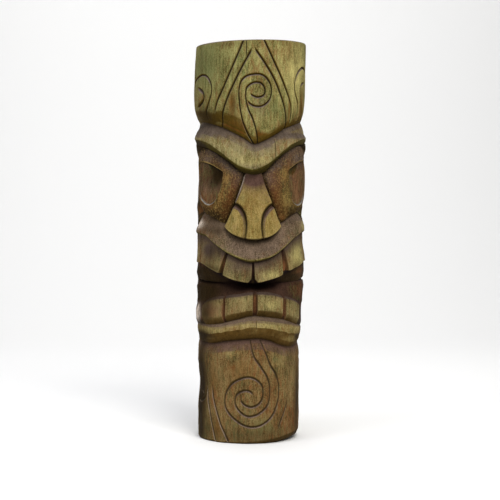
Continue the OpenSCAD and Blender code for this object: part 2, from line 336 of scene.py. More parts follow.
@dataclass(frozen=True)
class Line:
    """A V cut along a smooth line of (angle, height) places, thinner towards its ends. A painted
    highlight lies on its lower wall, and on the wall away from the face's centre as far as outward says."""

    points: Places
    half_width: float = 2.3
    deep: float = 3.0
    tips: tuple[float, float] = (0.12, 0.12)
    grow: tuple[float, float] = (1.0, 1.0)
    outward: float = 0.2

    def course(self) -> tuple[Array, Array]:
        """Dense places along the line, with how full the cut is at each.

        Returns:
            (angle, height) rows about 0.5 mm apart, and fullness from 0.25 to 1.
        """
        p = np.asarray(self.points, float)
        rough = through(p, np.linspace(0.0, len(p) - 1.0, 40 * len(p)), False)
        step = np.hypot(np.diff(rough[:, 0]) * ARC, np.diff(rough[:, 1]))
        run = np.concatenate([[0.0], np.cumsum(step)])
        s = np.arange(0.0, run[-1], 0.5)
        course = np.stack([np.interp(s, run, rough[:, k]) for k in (0, 1)], -1)
        t = s / run[-1]
        full = ease(t / max(self.tips[0], 1e-6)) * ease((1.0 - t) / max(self.tips[1], 1e-6))
        return course, (0.25 + 0.75 * full) * (self.grow[0] + (self.grow[1] - self.grow[0]) * t)


def incise(a: Array, z: Array, lines: tuple[Line, ...]) -> tuple[Array, Array, Array]:
    """Depth that incised lines add to a grid: at a distance d from a line's course, its depth
    times a bell curve of d over 0.6 of its half width. The deepest line counts.

    Args:
        a: angles.
        z: heights.
        lines: the lines.

    Returns:
        The added depth, a mask that is 1 on a course and 0 away from it, and a mask of the
        painted highlight on its walls: a bell curve round 0.75 of the half width, on the highlighted side
            only.
    """
    shape = a.shape
    x, y = (a * ARC).ravel(), z.ravel()
    depth = np.zeros(len(x))
    mask = np.zeros(len(x))
    frost = np.zeros(len(x))
    batch = 120
    for line in lines:
        course, full = line.course()
        reach = 2.2 * line.half_width
        for k in range(0, len(course), batch):
            c, w = course[k:k + batch + 1], full[k:k + batch + 1]
            cx, cy = c[:, 0] * ARC, c[:, 1]
            near = np.flatnonzero((x > cx.min() - reach) & (x < cx.max() + reach)
                                  & (y > cy.min() - reach) & (y < cy.max() + reach))
            if len(near) == 0:
                continue
            d = np.hypot(x[near, None] - cx[None], y[near, None] - cy[None])
            value = w[None] * np.exp(-(d / (0.6 * line.half_width * (0.5 + 0.5 * w[None]))) ** 2)
            pick = value.argmax(1)
            best = value[np.arange(len(near)), pick]
            depth[near] = np.maximum(depth[near], line.deep * best)
            mask[near] = np.maximum(mask[near], best)
            half = line.half_width * (0.5 + 0.5 * w[pick])
            # Painted highlight: on the lower wall, and on the wall away from the centre as far as outward
            # says.
            side = (cy[pick] - y[near]) + line.outward * (np.abs(x[near]) - np.abs(cx[pick]))
            ring = np.exp(-((d[np.arange(len(near)), pick] / half - 0.75) / 0.35) ** 2)
            painted_highlight_share = ring * ease(side / half * 1.5) * np.minimum(w[pick], 1.0)
            frost[near] = np.maximum(frost[near], painted_highlight_share)
    return depth.reshape(shape), mask.reshape(shape), frost.reshape(shape)


# ---------------------------------------------------------------- closed pieces

@dataclass
class Piece:
    """One carved form: a closed surface of places, before it becomes a mesh. flat tells which
    groups of faces are shaded flat, skin which points show, and dirt how much painted shade it takes."""

    name: str
    nodes: tuple[str, ...]
    slot: str
    stain: "Stain"
    a: Array
    z: Array
    depth: Array
    faces: list[Array]
    flat: list[bool]
    skin: Array
    paint: dict[str, Array]
    painted_shade_weight: float = 1.0


def grid_quads(rows: int, cols: int, wrap_rows: bool, wrap_cols: bool) -> Array:
    """Quads over a grid of points numbered along its rows, joined round where it wraps.

    Args:
        rows: rows of the grid.
        cols: its columns.
        wrap_rows: whether the last row joins the first.
        wrap_cols: whether the last column joins the first.

    Returns:
        Four corner numbers a face.
    """
    i, j = np.meshgrid(np.arange(rows if wrap_rows else rows - 1),
                       np.arange(cols if wrap_cols else cols - 1), indexing="ij")
    k, m = (i + 1) % rows, (j + 1) % cols
    quads = np.stack([i * cols + j, i * cols + m, k * cols + m, k * cols + j], -1)
    return quads.reshape(-1, 4)


def volume(points: Array, faces: list[Array]) -> float:
    """Volume inside a closed surface, negative if it is inside out: the sum over a fan of
    triangles on each face of a sixth of the triple product of its corners.

    Args:
        points: corner places.
        faces: arrays of faces.

    Returns:
        The volume, below 0 where the faces point inwards.
    """
    total = 0.0
    for group in faces:
        for k in range(1, group.shape[1] - 1):
            p, q, r = points[group[:, 0]], points[group[:, k]], points[group[:, k + 1]]
            total += float(np.einsum("ij,ij->i", p, np.cross(q, r)).sum()) / 6.0
    return total


@dataclass(frozen=True)
class Carver:
    """Turns outlines and depths into closed pieces on one log."""

    log: Log

    def columns(self, step: float) -> Array:
        """Angles across the carved front: evenly spaced nearly to its edges, then coarser.

        Args:
            step: degrees between columns.

        Returns:
            The angles, from left to right.
        """
        half = int(round(FULL_FRONT / step))
        middle = np.linspace(-FULL_FRONT, FULL_FRONT, 2 * half + 1)
        side = np.linspace(FULL_FRONT, self.log.front_a, 9)[1:]
        return np.concatenate([-side[::-1], middle, side])

    def band(self, name: str, node: str, slot: str, stain: "Stain", step: float,
             rails: Callable[[Array], Rails], rows: tuple[int, ...], soft: float,
             rough: float, lines: tuple[Line, ...] = (),
             extra: Callable[[Array, Array], Array] | None = None) -> Piece:
        """A band round the front. Each column is a profile of straight runs between rails,
        rounded by a bell curve; the solid runs straight back to the log's heart.

        Args:
            name: the piece's name.
            node: the CAD node that it stands for.
            slot: a name for its material slot, kept on the piece but not used.
            stain: its finish.
            step: degrees between columns.
            rails: gives the (height, depth) rails, top first, for all the angles.
            rows: rows of the grid between one rail and the next.
            soft: how far arrises are rounded, in rows.
            rough: height of the tool marks in millimetres.
            lines: lines cut into it.
            extra: more depth for an angle and a height.

        Returns:
            The piece.
        """
        a = self.columns(step)
        rail = rails(a)
        zs = np.stack([np.broadcast_to(r[0], a.shape) for r in rail])
        ds = np.stack([np.broadcast_to(r[1], a.shape) for r in rail])
        k = np.concatenate([np.repeat(np.arange(len(rows)), rows), [len(rows) - 1]])
        t = np.concatenate([np.arange(n) / n for n in rows] + [[1.0]])[:, None]
        z = soften(zs[k] * (1.0 - t) + zs[k + 1] * t, 0, soft).T
        d = soften(ds[k] * (1.0 - t) + ds[k + 1] * t, 0, soft).T
        aa = np.broadcast_to(a[:, None], z.shape)
        blend = fade(aa)
        d = d + blend * rough * (uneven(aa, z, 13.0, 11, 1.7) + 0.5 * uneven(aa, z, 6.0, 12, 1.6))
        if extra is not None:
            d = d + extra(aa, z)
        depth, mask, frost = incise(aa, z, lines)
        d = d + depth
        n, m = z.shape
        z_behind = z[:, [-1, 0]]
        heart = self.log.radius(a[:, None], z_behind) - self.log.heart_r
        bare = np.zeros((n, 2))
        a_all = np.concatenate([aa, a[:, None], a[:, None]], 1)
        z_all = np.concatenate([z, z_behind], 1)
        d_all = np.concatenate([d, heart], 1)
        paint = {"line": np.concatenate([mask, bare], 1).ravel(),
                 "frost": np.concatenate([frost, bare], 1).ravel()}
        quads = grid_quads(n, m + 2, False, True)
        is_wall = np.tile(np.arange(m + 2) >= m - 1, n - 1)
        ring = np.arange(m + 2)
        skin = np.zeros((n, m + 2), bool)
        skin[:, :m] = True
        return Piece(name, (node,), slot, stain, a_all.ravel(), z_all.ravel(), d_all.ravel(),
                     [quads[~is_wall], quads[is_wall], ring[::-1][None], ring[None] + (n - 1) * (m + 2)],
                     [False, True, True, True], skin.ravel(), paint)

    def shell(self, name: str, nodes: tuple[str, ...], slot: str, stain: "Stain",
              a: Array, z: Array, d: Array, back: Array, paint: dict[str, Array], painted_shade_weight: float) -> Piece:
        """A raised form over a grid of places: the grid in front, the same grid at its back
        depth behind, and walls round the four sides.

        Args:
            name: the piece's name.
            nodes: the CAD nodes that it stands for.
            slot: a name for its material slot, kept on the piece but not used.
            stain: its finish.
            a: angles of the grid.
            z: heights of the grid.
            d: depths of its front.
            back: depths of its back.
            paint: masks on its front.
            painted_shade_weight: how strongly painted shade darkens its hollows and the parts under
                overhangs.

        Returns:
            The piece.
        """
        n, m = a.shape
        size = n * m
        skin = grid_quads(n, m, False, False)
        index = np.arange(size).reshape(n, m)
        rim = np.concatenate([index[:-1, 0], index[-1, :-1], index[:0:-1, -1], index[0, :0:-1]])
        nxt = np.roll(rim, -1)
        walls = np.stack([rim, nxt, nxt + size, rim + size], -1)
        return Piece(name, nodes, slot, stain, np.tile(a.ravel(), 2), np.tile(z.ravel(), 2),
                     np.concatenate([d.ravel(), back.ravel()]),
                     [skin, skin[:, ::-1] + size, walls], [False, False, True],
                     np.arange(2 * size) < size,
                     {k: np.concatenate([v.ravel(), np.zeros(size)]) for k, v in paint.items()}, painted_shade_weight)

    def plateau(self, name: str, nodes: tuple[str, ...], slot: str, stain: "Stain",
                left: Array | Places, right: Array | Places, top: Array, bottom: Array,
                face: Callable[[Array, Array, Array, Array], Array],
                seat: Callable[[Array], Array], walls: tuple[float, float, float, float],
                cells: tuple[int, int], soft: float, rough: float, lines: tuple[Line, ...] = (),
                wall_paint: tuple[str, str, float] = ("amber", "amber", 0.9),
                painted_shade_weight: float = 0.6) -> Piece:
        """A raised form inside four edges: a Coons patch, which adds the blend between left and
        right to the blend between top and bottom and takes away the blend of the corners. Past
        each edge a wall falls from the face to the surface that the form stands on.

        Args:
            name: the piece's name.
            nodes: the CAD nodes that it stands for.
            slot: a name for its material slot, kept on the piece but not used.
            stain: its finish.
            left: (angle, height) places down the left edge.
            right: the same down the right edge.
            top: (angle, height) rows along the top edge, from left to right.
            bottom: the same along the bottom edge.
            face: depth of the face at (across, down, angle, height).
            seat: depth of the surface behind, at an angle.
            walls: how far the left, right, top and bottom walls spread, in millimetres.
            cells: points across and down the face.
            soft: how far arrises are rounded, in grid steps.
            rough: height of the tool marks in millimetres.
            lines: lines cut into it.
            wall_paint: tints of its left wall and its right wall, and how strong they are; the nose's
                are painted light on the left and painted shade on the right.
            painted_shade_weight: how strongly painted shade darkens its hollows and the parts under
                overhangs.

        Returns:
            The piece.
        """
        wall = np.linspace(0.0, 1.0, 6)[1:]

        def spread(count: int) -> tuple[Array, Array, Array]:
            """Positions over the face, and how far into the wall before and after it.

            Args:
                count: how many positions.

            Returns:
                The three rows.
            """
            inner = np.linspace(0.0, 1.0, count)
            zero = np.zeros(count)
            return (np.concatenate([wall * 0.0, inner, wall * 0.0 + 1.0]),
                    np.concatenate([wall[::-1], zero, wall * 0.0]),
                    np.concatenate([wall * 0.0, zero, wall]))

        def edge(points: Array | Places, t: Array) -> Array:
            """Places along one edge at shares of its list."""
            p = np.asarray(points, float)
            return through(p, t * (len(p) - 1.0), False)

        u, lo_u, hi_u = spread(cells[0])
        v, lo_v, hi_v = spread(cells[1])
        left_p, right_p = edge(left, v)[None], edge(right, v)[None]
        top_p, bottom_p = edge(top, u)[:, None], edge(bottom, u)[:, None]
        uu, vv = u[:, None, None], v[None, :, None]
        corners = ((1 - uu) * (1 - vv) * left_p[:, :1] + uu * (1 - vv) * right_p[:, :1]
                   + (1 - uu) * vv * left_p[:, -1:] + uu * vv * right_p[:, -1:])
        place = ((1 - uu) * left_p + uu * right_p + (1 - vv) * top_p + vv * bottom_p - corners)
        a = place[..., 0] + (hi_u * walls[1] - lo_u * walls[0])[:, None] / ARC_IN
        z = place[..., 1] + (lo_v * walls[2] - hi_v * walls[3])[None, :]
        fall = np.maximum(np.maximum(lo_u, hi_u)[:, None], np.maximum(lo_v, hi_v)[None, :])
        d = face(uu[..., 0], vv[..., 0], a, z)
        d = d + (seat(a) + 2.0 - d) * fall ** 0.85
        d = soften(soften(d, 0, soft), 1, soft)
        d = d + rough * (1.0 - fall) * (uneven(a, z, 11.0, 21, 1.5) + 0.5 * uneven(a, z, 5.0, 22))
        depth, mask, frost = incise(a, z, lines)
        paint = {"line": mask, "frost": frost}
        *tints, strength = wall_paint
        for tint, side in zip(tints, (lo_u, hi_u)):
            paint[tint] = np.maximum(paint.get(tint, 0.0 * z), strength * ease(side / 0.35)[:, None])
        return self.shell(name, nodes, slot, stain, a, z, d + depth,
                          np.maximum(seat(a) + 5.0, d + depth + 1.0), paint, painted_shade_weight)


    def tooth(self, name: str, top: Array, low: Array,
              face: Callable[[Array, Array, Array, Array], Array],
              walls: tuple[float, float, float, float], down: int, soft: float,
              rough: float) -> Piece:
        """A tooth: a raised form with straight sides, standing on the teeth's bed.

        Args:
            name: the node and piece.
            top: (angle, height) rows along its top edge.
            low: the same along its lower edge.
            face: depth of the face at (across, down, angle, height).
            walls: how far the left, right, top and bottom walls spread, in millimetres.
            down: points down the face.
            soft: how far arrises are rounded, in grid steps.
            rough: height of the tool marks in millimetres.

        Returns:
            The piece.
        """
        across = max(24, int((top[-1, 0] - top[0, 0]) * 2.0))
        return self.plateau(name, (name,), "teeth_wood", Finish.TEETH.value,
                            np.stack([top[0], low[0]]), np.stack([top[-1], low[-1]]), top, low,
                            face, tooth_bed, walls, (across, down), soft, rough)


class Tint(Enum):
    """Tints laid in patches on the wood: stains, and painted light and shade too. Violet is painted sky
    light, umber partly stain and partly painted shade, bleach partly bleached wood and partly painted
    light, and straw on the rims a painted highlight.
    """

    VIOLET = "violet"
    UMBER = "umber"
    AMBER = "amber"
    MOSS = "moss"
    STRAW = "straw"
    BLEACH_AND_LIGHT = "bleach"


@dataclass(frozen=True)
class Patch:
    """One soft patch of a stain: where it is, its half width and height, and its strength."""

    tint: Tint
    a: float
    z: float
    wide: float
    tall: float
    amount: float


@dataclass(frozen=True)
class StainsAndPaintedLight:
    """All the tinted patches on the figure: stains, painted sky light, painted shade and painted light."""

    # Mostly stains. The violet patches paint sky light; many umber ones paint shade, as under the brow's
    # ends, in the left eye's upper corner and in the mouth; the bleach patch at the lip's left corner
    # paints light.
    patches: tuple[Patch, ...] = (
        Patch(Tint.MOSS, -58, 850, 80, 70, 0.65), Patch(Tint.UMBER, -30, 893, 50, 8, 0.4),
        Patch(Tint.UMBER, 50, 893, 50, 7, 0.3), Patch(Tint.STRAW, 52, 830, 60, 90, 0.6),
        Patch(Tint.UMBER, -80, 800, 16, 60, 0.35), Patch(Tint.UMBER, -64, 865, 8, 30, 0.3),
        Patch(Tint.AMBER, -27, 708, 34, 24, 1.0), Patch(Tint.UMBER, -60, 735, 40, 26, 0.7),
        Patch(Tint.UMBER, -34, 704, 30, 14, 0.4), Patch(Tint.AMBER, -14, 688, 12, 16, 0.8),
        Patch(Tint.AMBER, -24, 764, 10, 30, 0.7), Patch(Tint.UMBER, -21, 756, 9, 34, 0.45),
        Patch(Tint.VIOLET, 6, 752, 14, 26, 0.25), Patch(Tint.MOSS, 20, 750, 14, 24, 0.55),
        Patch(Tint.AMBER, 39, 748, 5, 40, 0.7), Patch(Tint.UMBER, 36, 730, 6, 26, 0.45),
        Patch(Tint.AMBER, 63, 755, 14, 60, 0.75), Patch(Tint.STRAW, 62, 860, 20, 30, 0.3),
        Patch(Tint.AMBER, 3, 690, 7, 22, 0.6), Patch(Tint.VIOLET, 13, 669, 18, 12, 1.0),
        Patch(Tint.MOSS, 0, 742, 22, 14, 0.4),
        Patch(Tint.AMBER, 10, 690, 16, 7, 0.8), Patch(Tint.AMBER, 40, 712, 30, 8, 0.7),
        Patch(Tint.VIOLET, 62, 693, 34, 15, 0.85), Patch(Tint.STRAW, -66, 692, 9, 11, 0.5),
        Patch(Tint.STRAW, 72, 696, 9, 9, 0.5), Patch(Tint.STRAW, 0, 632, 50, 14, 0.45),
        Patch(Tint.UMBER, -78, 668, 34, 13, 1.3), Patch(Tint.UMBER, 78, 668, 18, 11, 1.2),
        Patch(Tint.UMBER, -92, 526, 20, 24, 0.5), Patch(Tint.UMBER, 92, 528, 20, 20, 0.5),
        Patch(Tint.VIOLET, 0, 592, 46, 23, 1.3), Patch(Tint.STRAW, -13, 552, 8, 18, 0.4),
        Patch(Tint.AMBER, 2, 556, 14, 12, 0.3), Patch(Tint.MOSS, -24, 500, 8, 8, 0.3),
        Patch(Tint.VIOLET, -62, 638, 36, 16, 0.8), Patch(Tint.VIOLET, 64, 643, 44, 20, 1.0),
        Patch(Tint.UMBER, -50, 508, 40, 14, 0.7), Patch(Tint.STRAW, 34, 530, 10, 16, 0.2),
        Patch(Tint.MOSS, 60, 518, 30, 14, 0.5), Patch(Tint.MOSS, 43, 556, 30, 40, 0.42),
        Patch(Tint.UMBER, -48, 602, 20, 26, 1.0), Patch(Tint.AMBER, -66, 575, 16, 26, 0.35),
        Patch(Tint.UMBER, 78, 622, 16, 10, 0.4), Patch(Tint.UMBER, -62, 594, 34, 36, 0.4),
        Patch(Tint.UMBER, -62, 300, 26, 24, 0.3),
        Patch(Tint.UMBER, -20, 308, 24, 20, 0.14),
        Patch(Tint.STRAW, 37, 536, 18, 44, 0.5),
        Patch(Tint.AMBER, 62, 580, 28, 44, 0.7), Patch(Tint.MOSS, -55, 585, 14, 26, 0.25),
        Patch(Tint.BLEACH_AND_LIGHT, -76, 491, 20, 12, 0.85), Patch(Tint.UMBER, -58, 480, 40, 16, 0.4),
        Patch(Tint.UMBER, -42, 474, 22, 14, 0.35), Patch(Tint.STRAW, 78, 492, 26, 20, 0.85),
        Patch(Tint.VIOLET, -56, 434, 34, 24, 1.1), Patch(Tint.UMBER, -52, 420, 26, 20, 0.45),
        Patch(Tint.UMBER, -90, 430, 12, 30, 0.6), Patch(Tint.STRAW, 22, 380, 28, 11, 0.75),
        Patch(Tint.VIOLET, -18, 400, 34, 20, 0.8), Patch(Tint.VIOLET, 16, 405, 24, 12, 0.2),
        Patch(Tint.STRAW, 58, 425, 26, 26, 0.75), Patch(Tint.UMBER, -66, 382, 60, 18, 1.2),
        Patch(Tint.UMBER, -70, 336, 64, 24, 1.1), Patch(Tint.AMBER, 66, 384, 44, 14, 0.5),
        Patch(Tint.AMBER, 72, 340, 56, 26, 0.4), Patch(Tint.AMBER, -37, 400, 5, 30, 1.0),
        Patch(Tint.AMBER, 39, 400, 6, 28, 0.9), Patch(Tint.AMBER, -1, 396, 3, 16, 0.7),
        Patch(Tint.UMBER, -1, 364, 12, 10, 1.2),
        Patch(Tint.UMBER, -60, 284, 26, 20, 0.45), Patch(Tint.AMBER, -24, 300, 40, 26, 0.35),
        Patch(Tint.AMBER, -54, 296, 28, 26, 0.65), Patch(Tint.STRAW, 22, 310, 30, 14, 0.4),
        Patch(Tint.AMBER, 2, 305, 5, 40, 1.0), Patch(Tint.AMBER, -36, 300, 4, 30, 0.9),
        Patch(Tint.AMBER, 40, 300, 4, 30, 0.9), Patch(Tint.BLEACH_AND_LIGHT, -82, 287, 15, 17, 1.4),
        Patch(Tint.STRAW, 10, 268, 80, 10, 0.5), Patch(Tint.UMBER, -66, 238, 50, 14, 0.7),
        Patch(Tint.UMBER, 68, 234, 26, 11, 0.8),
        Patch(Tint.STRAW, -24, 206, 22, 14, 0.4), Patch(Tint.MOSS, -22, 192, 16, 10, 0.3),
        Patch(Tint.MOSS, 10, 40, 40, 26, 0.5), Patch(Tint.UMBER, -76, 55, 30, 95, 0.9),
        Patch(Tint.AMBER, -12, 165, 50, 44, 0.4), Patch(Tint.UMBER, -74, 170, 34, 80, 0.75),
        Patch(Tint.AMBER, 70, 180, 22, 50, 0.5), Patch(Tint.STRAW, 30, 185, 34, 34, 0.25),
        Patch(Tint.UMBER, 68, 90, 24, 95, 0.8), Patch(Tint.AMBER, -50, 130, 20, 70, 0.45),
        Patch(Tint.AMBER, -42, 30, 20, 30, 0.5), Patch(Tint.UMBER, 0, 18, 130, 24, 0.45))
    # Violet bands paint sky light just below each edge; the umber band above the lower lip's foot paints
    # shade on its turned-under facet; the one above the lower lip's top darkens the lower teeth's bottoms.
    bands: tuple[tuple[Tint, Places, float, float, float], ...] = (
        (Tint.VIOLET, BROW_VALLEY, 2.0, 17.0, 0.9), (Tint.VIOLET, BROW_FOOT, 3.0, 25.0, 0.95),
        (Tint.VIOLET, LIP_VALLEY, 6.0, 34.0, 0.9), (Tint.VIOLET, LIP_EDGE, -4.0, 27.0, 0.95),
        (Tint.VIOLET, MOUTH_CREASE, 2.0, 10.0, 0.3), (Tint.VIOLET, LOWER_TEETH_TOP, 3.0, 9.0, 1.3),
        (Tint.VIOLET, LOWER_LIP_TOP, 1.0, 6.0, 0.9), (Tint.VIOLET, LOWER_LIP_FOOT, 2.0, 18.0, 1.0),
        (Tint.UMBER, LOWER_LIP_FOOT, -4.0, -22.0, 0.45), (Tint.AMBER, LOWER_LIP_FOOT, 0.0, -24.0, 0.5),
        (Tint.UMBER, LOWER_LIP_TOP, 0.0, -14.0, 0.4), (Tint.AMBER, BROW_VALLEY, -4.0, -9.0, 0.4))

    def marks(self, a: Array, z: Array) -> dict[str, Array]:
        """How strong each tint is: a sum of bell curves of the distance from each patch, and
        half a bell curve of the distance below (or, for a reach below 0, above) an outline.

        Args:
            a: angles.
            z: heights.

        Returns:
            One array for each tint, up to 1.
        """
        found = {tint.value: np.zeros(a.shape) for tint in Tint}
        for p in self.patches:
            away = ((a - p.a) * ARC_IN / p.wide) ** 2 + ((z - p.z) / p.tall) ** 2
            found[p.tint.value] += p.amount * np.exp(-away)
        for tint, edge, start, reach, amount in self.bands:
            away = (outline(edge, a) + start - z) / reach
            share = amount * fade(a) * np.where(away > 0.0, np.exp(-away ** 2), 0.0)
            found[tint.value] = np.maximum(found[tint.value], share)
        return {key: np.clip(value, 0.0, 1.0) for key, value in found.items()}


class HollowMap:
    """Depth of the whole carving on one grid round the log, for the painted shade in hollows and under
    overhangs, and the worn edges with a painted highlight, to follow.
    """

    PER_DEGREE = 2
    COLS = 360 * PER_DEGREE
    ROWS = int(LOG_TOP)

    def __init__(self, pieces: list[Piece]) -> None:
        """Takes the least depth of every piece's front in cells of half a degree by a millimetre,
        and fills cells that none reached from those beside them.

        Args:
            pieces: all the pieces.
        """
        unknown = 99.0
        depth = np.full((self.COLS, self.ROWS), unknown)
        for p in pieces:
            i = np.floor((p.a[p.skin] + 180.0) * self.PER_DEGREE).astype(int)
            j = np.floor(p.z[p.skin]).astype(int)
            for di, dj in ((0, 0), (1, 0), (-1, 0), (0, 1), (0, -1)):
                cell = (i + di) % self.COLS, np.clip(j + dj, 0, self.ROWS - 1)
                np.minimum.at(depth, cell, p.depth[p.skin])
        for _ in range(6):
            gap = depth > unknown - 1.0
            around = np.stack([np.roll(depth, s, ax) for ax in (0, 1) for s in (-1, 1)])
            known = around < unknown - 1.0
            mean = (around * known).sum(0) / np.maximum(known.sum(0), 1)
            depth = np.where(gap & known.any(0), mean, depth)
        self.depth = np.where(depth > unknown - 1.0, 0.0, depth)
        self.near = self.blur(3.0)
        self.wide = self.blur(16.0)
        self.over = np.zeros_like(self.depth)
        for k in (3, 6, 10, 15, 22, 30, 42):
            above = np.roll(self.near, -k, 1)
            above[:, -k:] = self.near[:, -k:]
            self.over = np.maximum(self.over, (self.depth - above) / k)

    def blur(self, width: float) -> Array:
        """The depth map averaged by a bell curve of that many millimetres, by Fourier product.

        Args:
            width: width of the bell in millimetres.

        Returns:
            The field, of the same shape as depth.
        """
        fa = np.fft.fftfreq(self.COLS, ARC_IN / self.PER_DEGREE)
        fz = np.fft.rfftfreq(2 * self.ROWS, 1.0)
        both = np.concatenate([self.depth, self.depth[:, ::-1]], 1)
        bell = np.exp(-2.0 * (math.pi * width) ** 2 * (fa[:, None] ** 2 + fz[None] ** 2))
        return np.fft.irfft2(np.fft.rfft2(both) * bell, both.shape)[:, :self.ROWS]

    def read(self, field: Array, a: Array, z: Array) -> Array:
        """A field of the map at places on the log, blended between its four cells.

        Args:
            field: a field of the map.
            a: angles.
            z: heights.

        Returns:
            Its values there.
        """
        x, y = (a + 180.0) * self.PER_DEGREE - 0.5, np.clip(z - 0.5, 0.0, self.ROWS - 2.0)
        i, j = np.floor(x).astype(int), np.floor(y).astype(int)
        fx, fy = x - i, y - j
        here, nxt = i % self.COLS, (i + 1) % self.COLS
        return ((1 - fx) * (1 - fy) * field[here, j] + fx * (1 - fy) * field[nxt, j]
                + (1 - fx) * fy * field[here, j + 1] + fx * fy * field[nxt, j + 1])

    def marks(self, p: Piece) -> dict[str, Array]:
        """What a piece's finish needs to know at each point.

        Args:
            p: the piece.

        Returns:
            hollow (how far it lies below its surroundings) and shade (how much stands over it), for
            the painted shade; wear (how far it stands proud of its near surroundings), for worn edges
            with a painted highlight; side (how near the uncarved back); the tints, some of them painted
            light and shade; and the piece's own line, painted highlight and paint, each 0 to 1.
        """
        # hollow and shade set the painted shade in hollows and under overhangs.
        hollow = np.clip((p.depth - self.read(self.wide, p.a, p.z)) / 10.0, 0.0, 1.0)
        shade = np.clip(self.read(self.over, p.a, p.z) / 2.0, 0.0, 1.0)
        # wear sets worn edges with a painted highlight.
        wear = np.clip((self.read(self.near, p.a, p.z) - p.depth) / 2.2, 0.0, 1.0)
        marks = {"hollow": hollow * p.skin * p.painted_shade_weight, "shade": shade * p.skin * p.painted_shade_weight,
                 "wear": wear * p.skin, "frost": 0.0 * p.z, "line": 0.0 * p.z,
                 "side": ease((np.abs(p.a) - 97.0) / 14.0),
                 **StainsAndPaintedLight().marks(p.a, p.z)}
        for key, values in p.paint.items():
            marks[key] = np.maximum(marks[key], values)
        return marks


def make_object(piece: Piece, the_log: Log, marks: dict[str, Array]) -> bpy.types.Object:
    """Puts a piece's points, faces and marks into a mesh, dresses it and tells the frame.

    Args:
        piece: the piece.
        the_log: the log that it is cut from.
        marks: its point attributes.

    Returns:
        The object.
    """
    points = the_log.place(piece.a, piece.z, piece.depth)
    faces = piece.faces
    if volume(points, faces) < 0.0:
        faces = [f[:, ::-1] for f in faces]
    mesh = bpy.data.meshes.new(piece.name)
    mesh.vertices.add(len(points))
    mesh.vertices.foreach_set("co", (points * MM).astype(np.float32).ravel())
    corners = np.concatenate([f.ravel() for f in faces]).astype(np.int32)
    counts = np.concatenate([np.full(len(f), f.shape[1]) for f in faces])
    starts = np.concatenate([[0], np.cumsum(counts)[:-1]]).astype(np.int32)
    mesh.loops.add(len(corners))
    mesh.loops.foreach_set("vertex_index", corners)
    mesh.polygons.add(len(starts))
    mesh.polygons.foreach_set("loop_start", starts)
    smooth = np.concatenate([np.full(len(f), not flat) for f, flat in zip(faces, piece.flat)])
    mesh.polygons.foreach_set("use_smooth", smooth)
    mesh.update(calc_edges=True)
    for key, values in marks.items():
        mesh.attributes.new(key, "FLOAT", "POINT").data.foreach_set("value", values.astype(np.float32))
    mesh.materials.append(piece.stain.material())
    obj = bpy.data.objects.new(piece.name, mesh)
    bpy.context.scene.collection.objects.link(obj)
    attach(obj, "root")
    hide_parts(*piece.nodes)
    log.info("%s: %d points, %d faces, for %s", piece.name, len(points), len(starts),
             ", ".join(piece.nodes))
    return obj


# ---------------------------------------------------------------- finishes

class Wire:
    """A shader socket that Python's arithmetic works on, each operation adding a Math node."""

    def __init__(self, nodes: "Nodes", socket: bpy.types.NodeSocket) -> None:
        """Keeps the socket and the tree that it belongs to."""
        self.nodes = nodes
        self.socket = socket

    def _math(self, operation: str, *values: "Wire | float") -> "Wire":
        """One Math node on the values, with its output as a new wire."""
        node = self.nodes.add("ShaderNodeMath", {"operation": operation}, dict(enumerate(values)))
        return Wire(self.nodes, node.outputs[0])

    def __add__(self, other: "Wire | float") -> "Wire":
        """Sum."""
        return self._math("ADD", self, other)

    __radd__ = __add__

    def __sub__(self, other: "Wire | float") -> "Wire":
        """Difference."""
        return self._math("SUBTRACT", self, other)

    def __rsub__(self, other: float) -> "Wire":
        """Difference from a number."""
        return self._math("SUBTRACT", other, self)

    def __mul__(self, other: "Wire | float") -> "Wire":
        """Product."""
        return self._math("MULTIPLY", self, other)

    __rmul__ = __mul__

    def most(self, other: "Wire | float") -> "Wire":
        """The greater of the two."""
        return self._math("MAXIMUM", self, other)

    def sine(self) -> "Wire":
        """Its sine."""
        return self._math("SINE", self)

    def between(self, low: float, high: float) -> "Wire":
        """0 below low, 1 above high, and a smooth step between them.

        Args:
            low: value that gives 0.
            high: value that gives 1.

        Returns:
            The share.
        """
        node = self.nodes.add("ShaderNodeMapRange", {"interpolation_type": "SMOOTHSTEP"},
                              {"Value": self, "From Min": low, "From Max": high})
        return Wire(self.nodes, node.outputs["Result"])


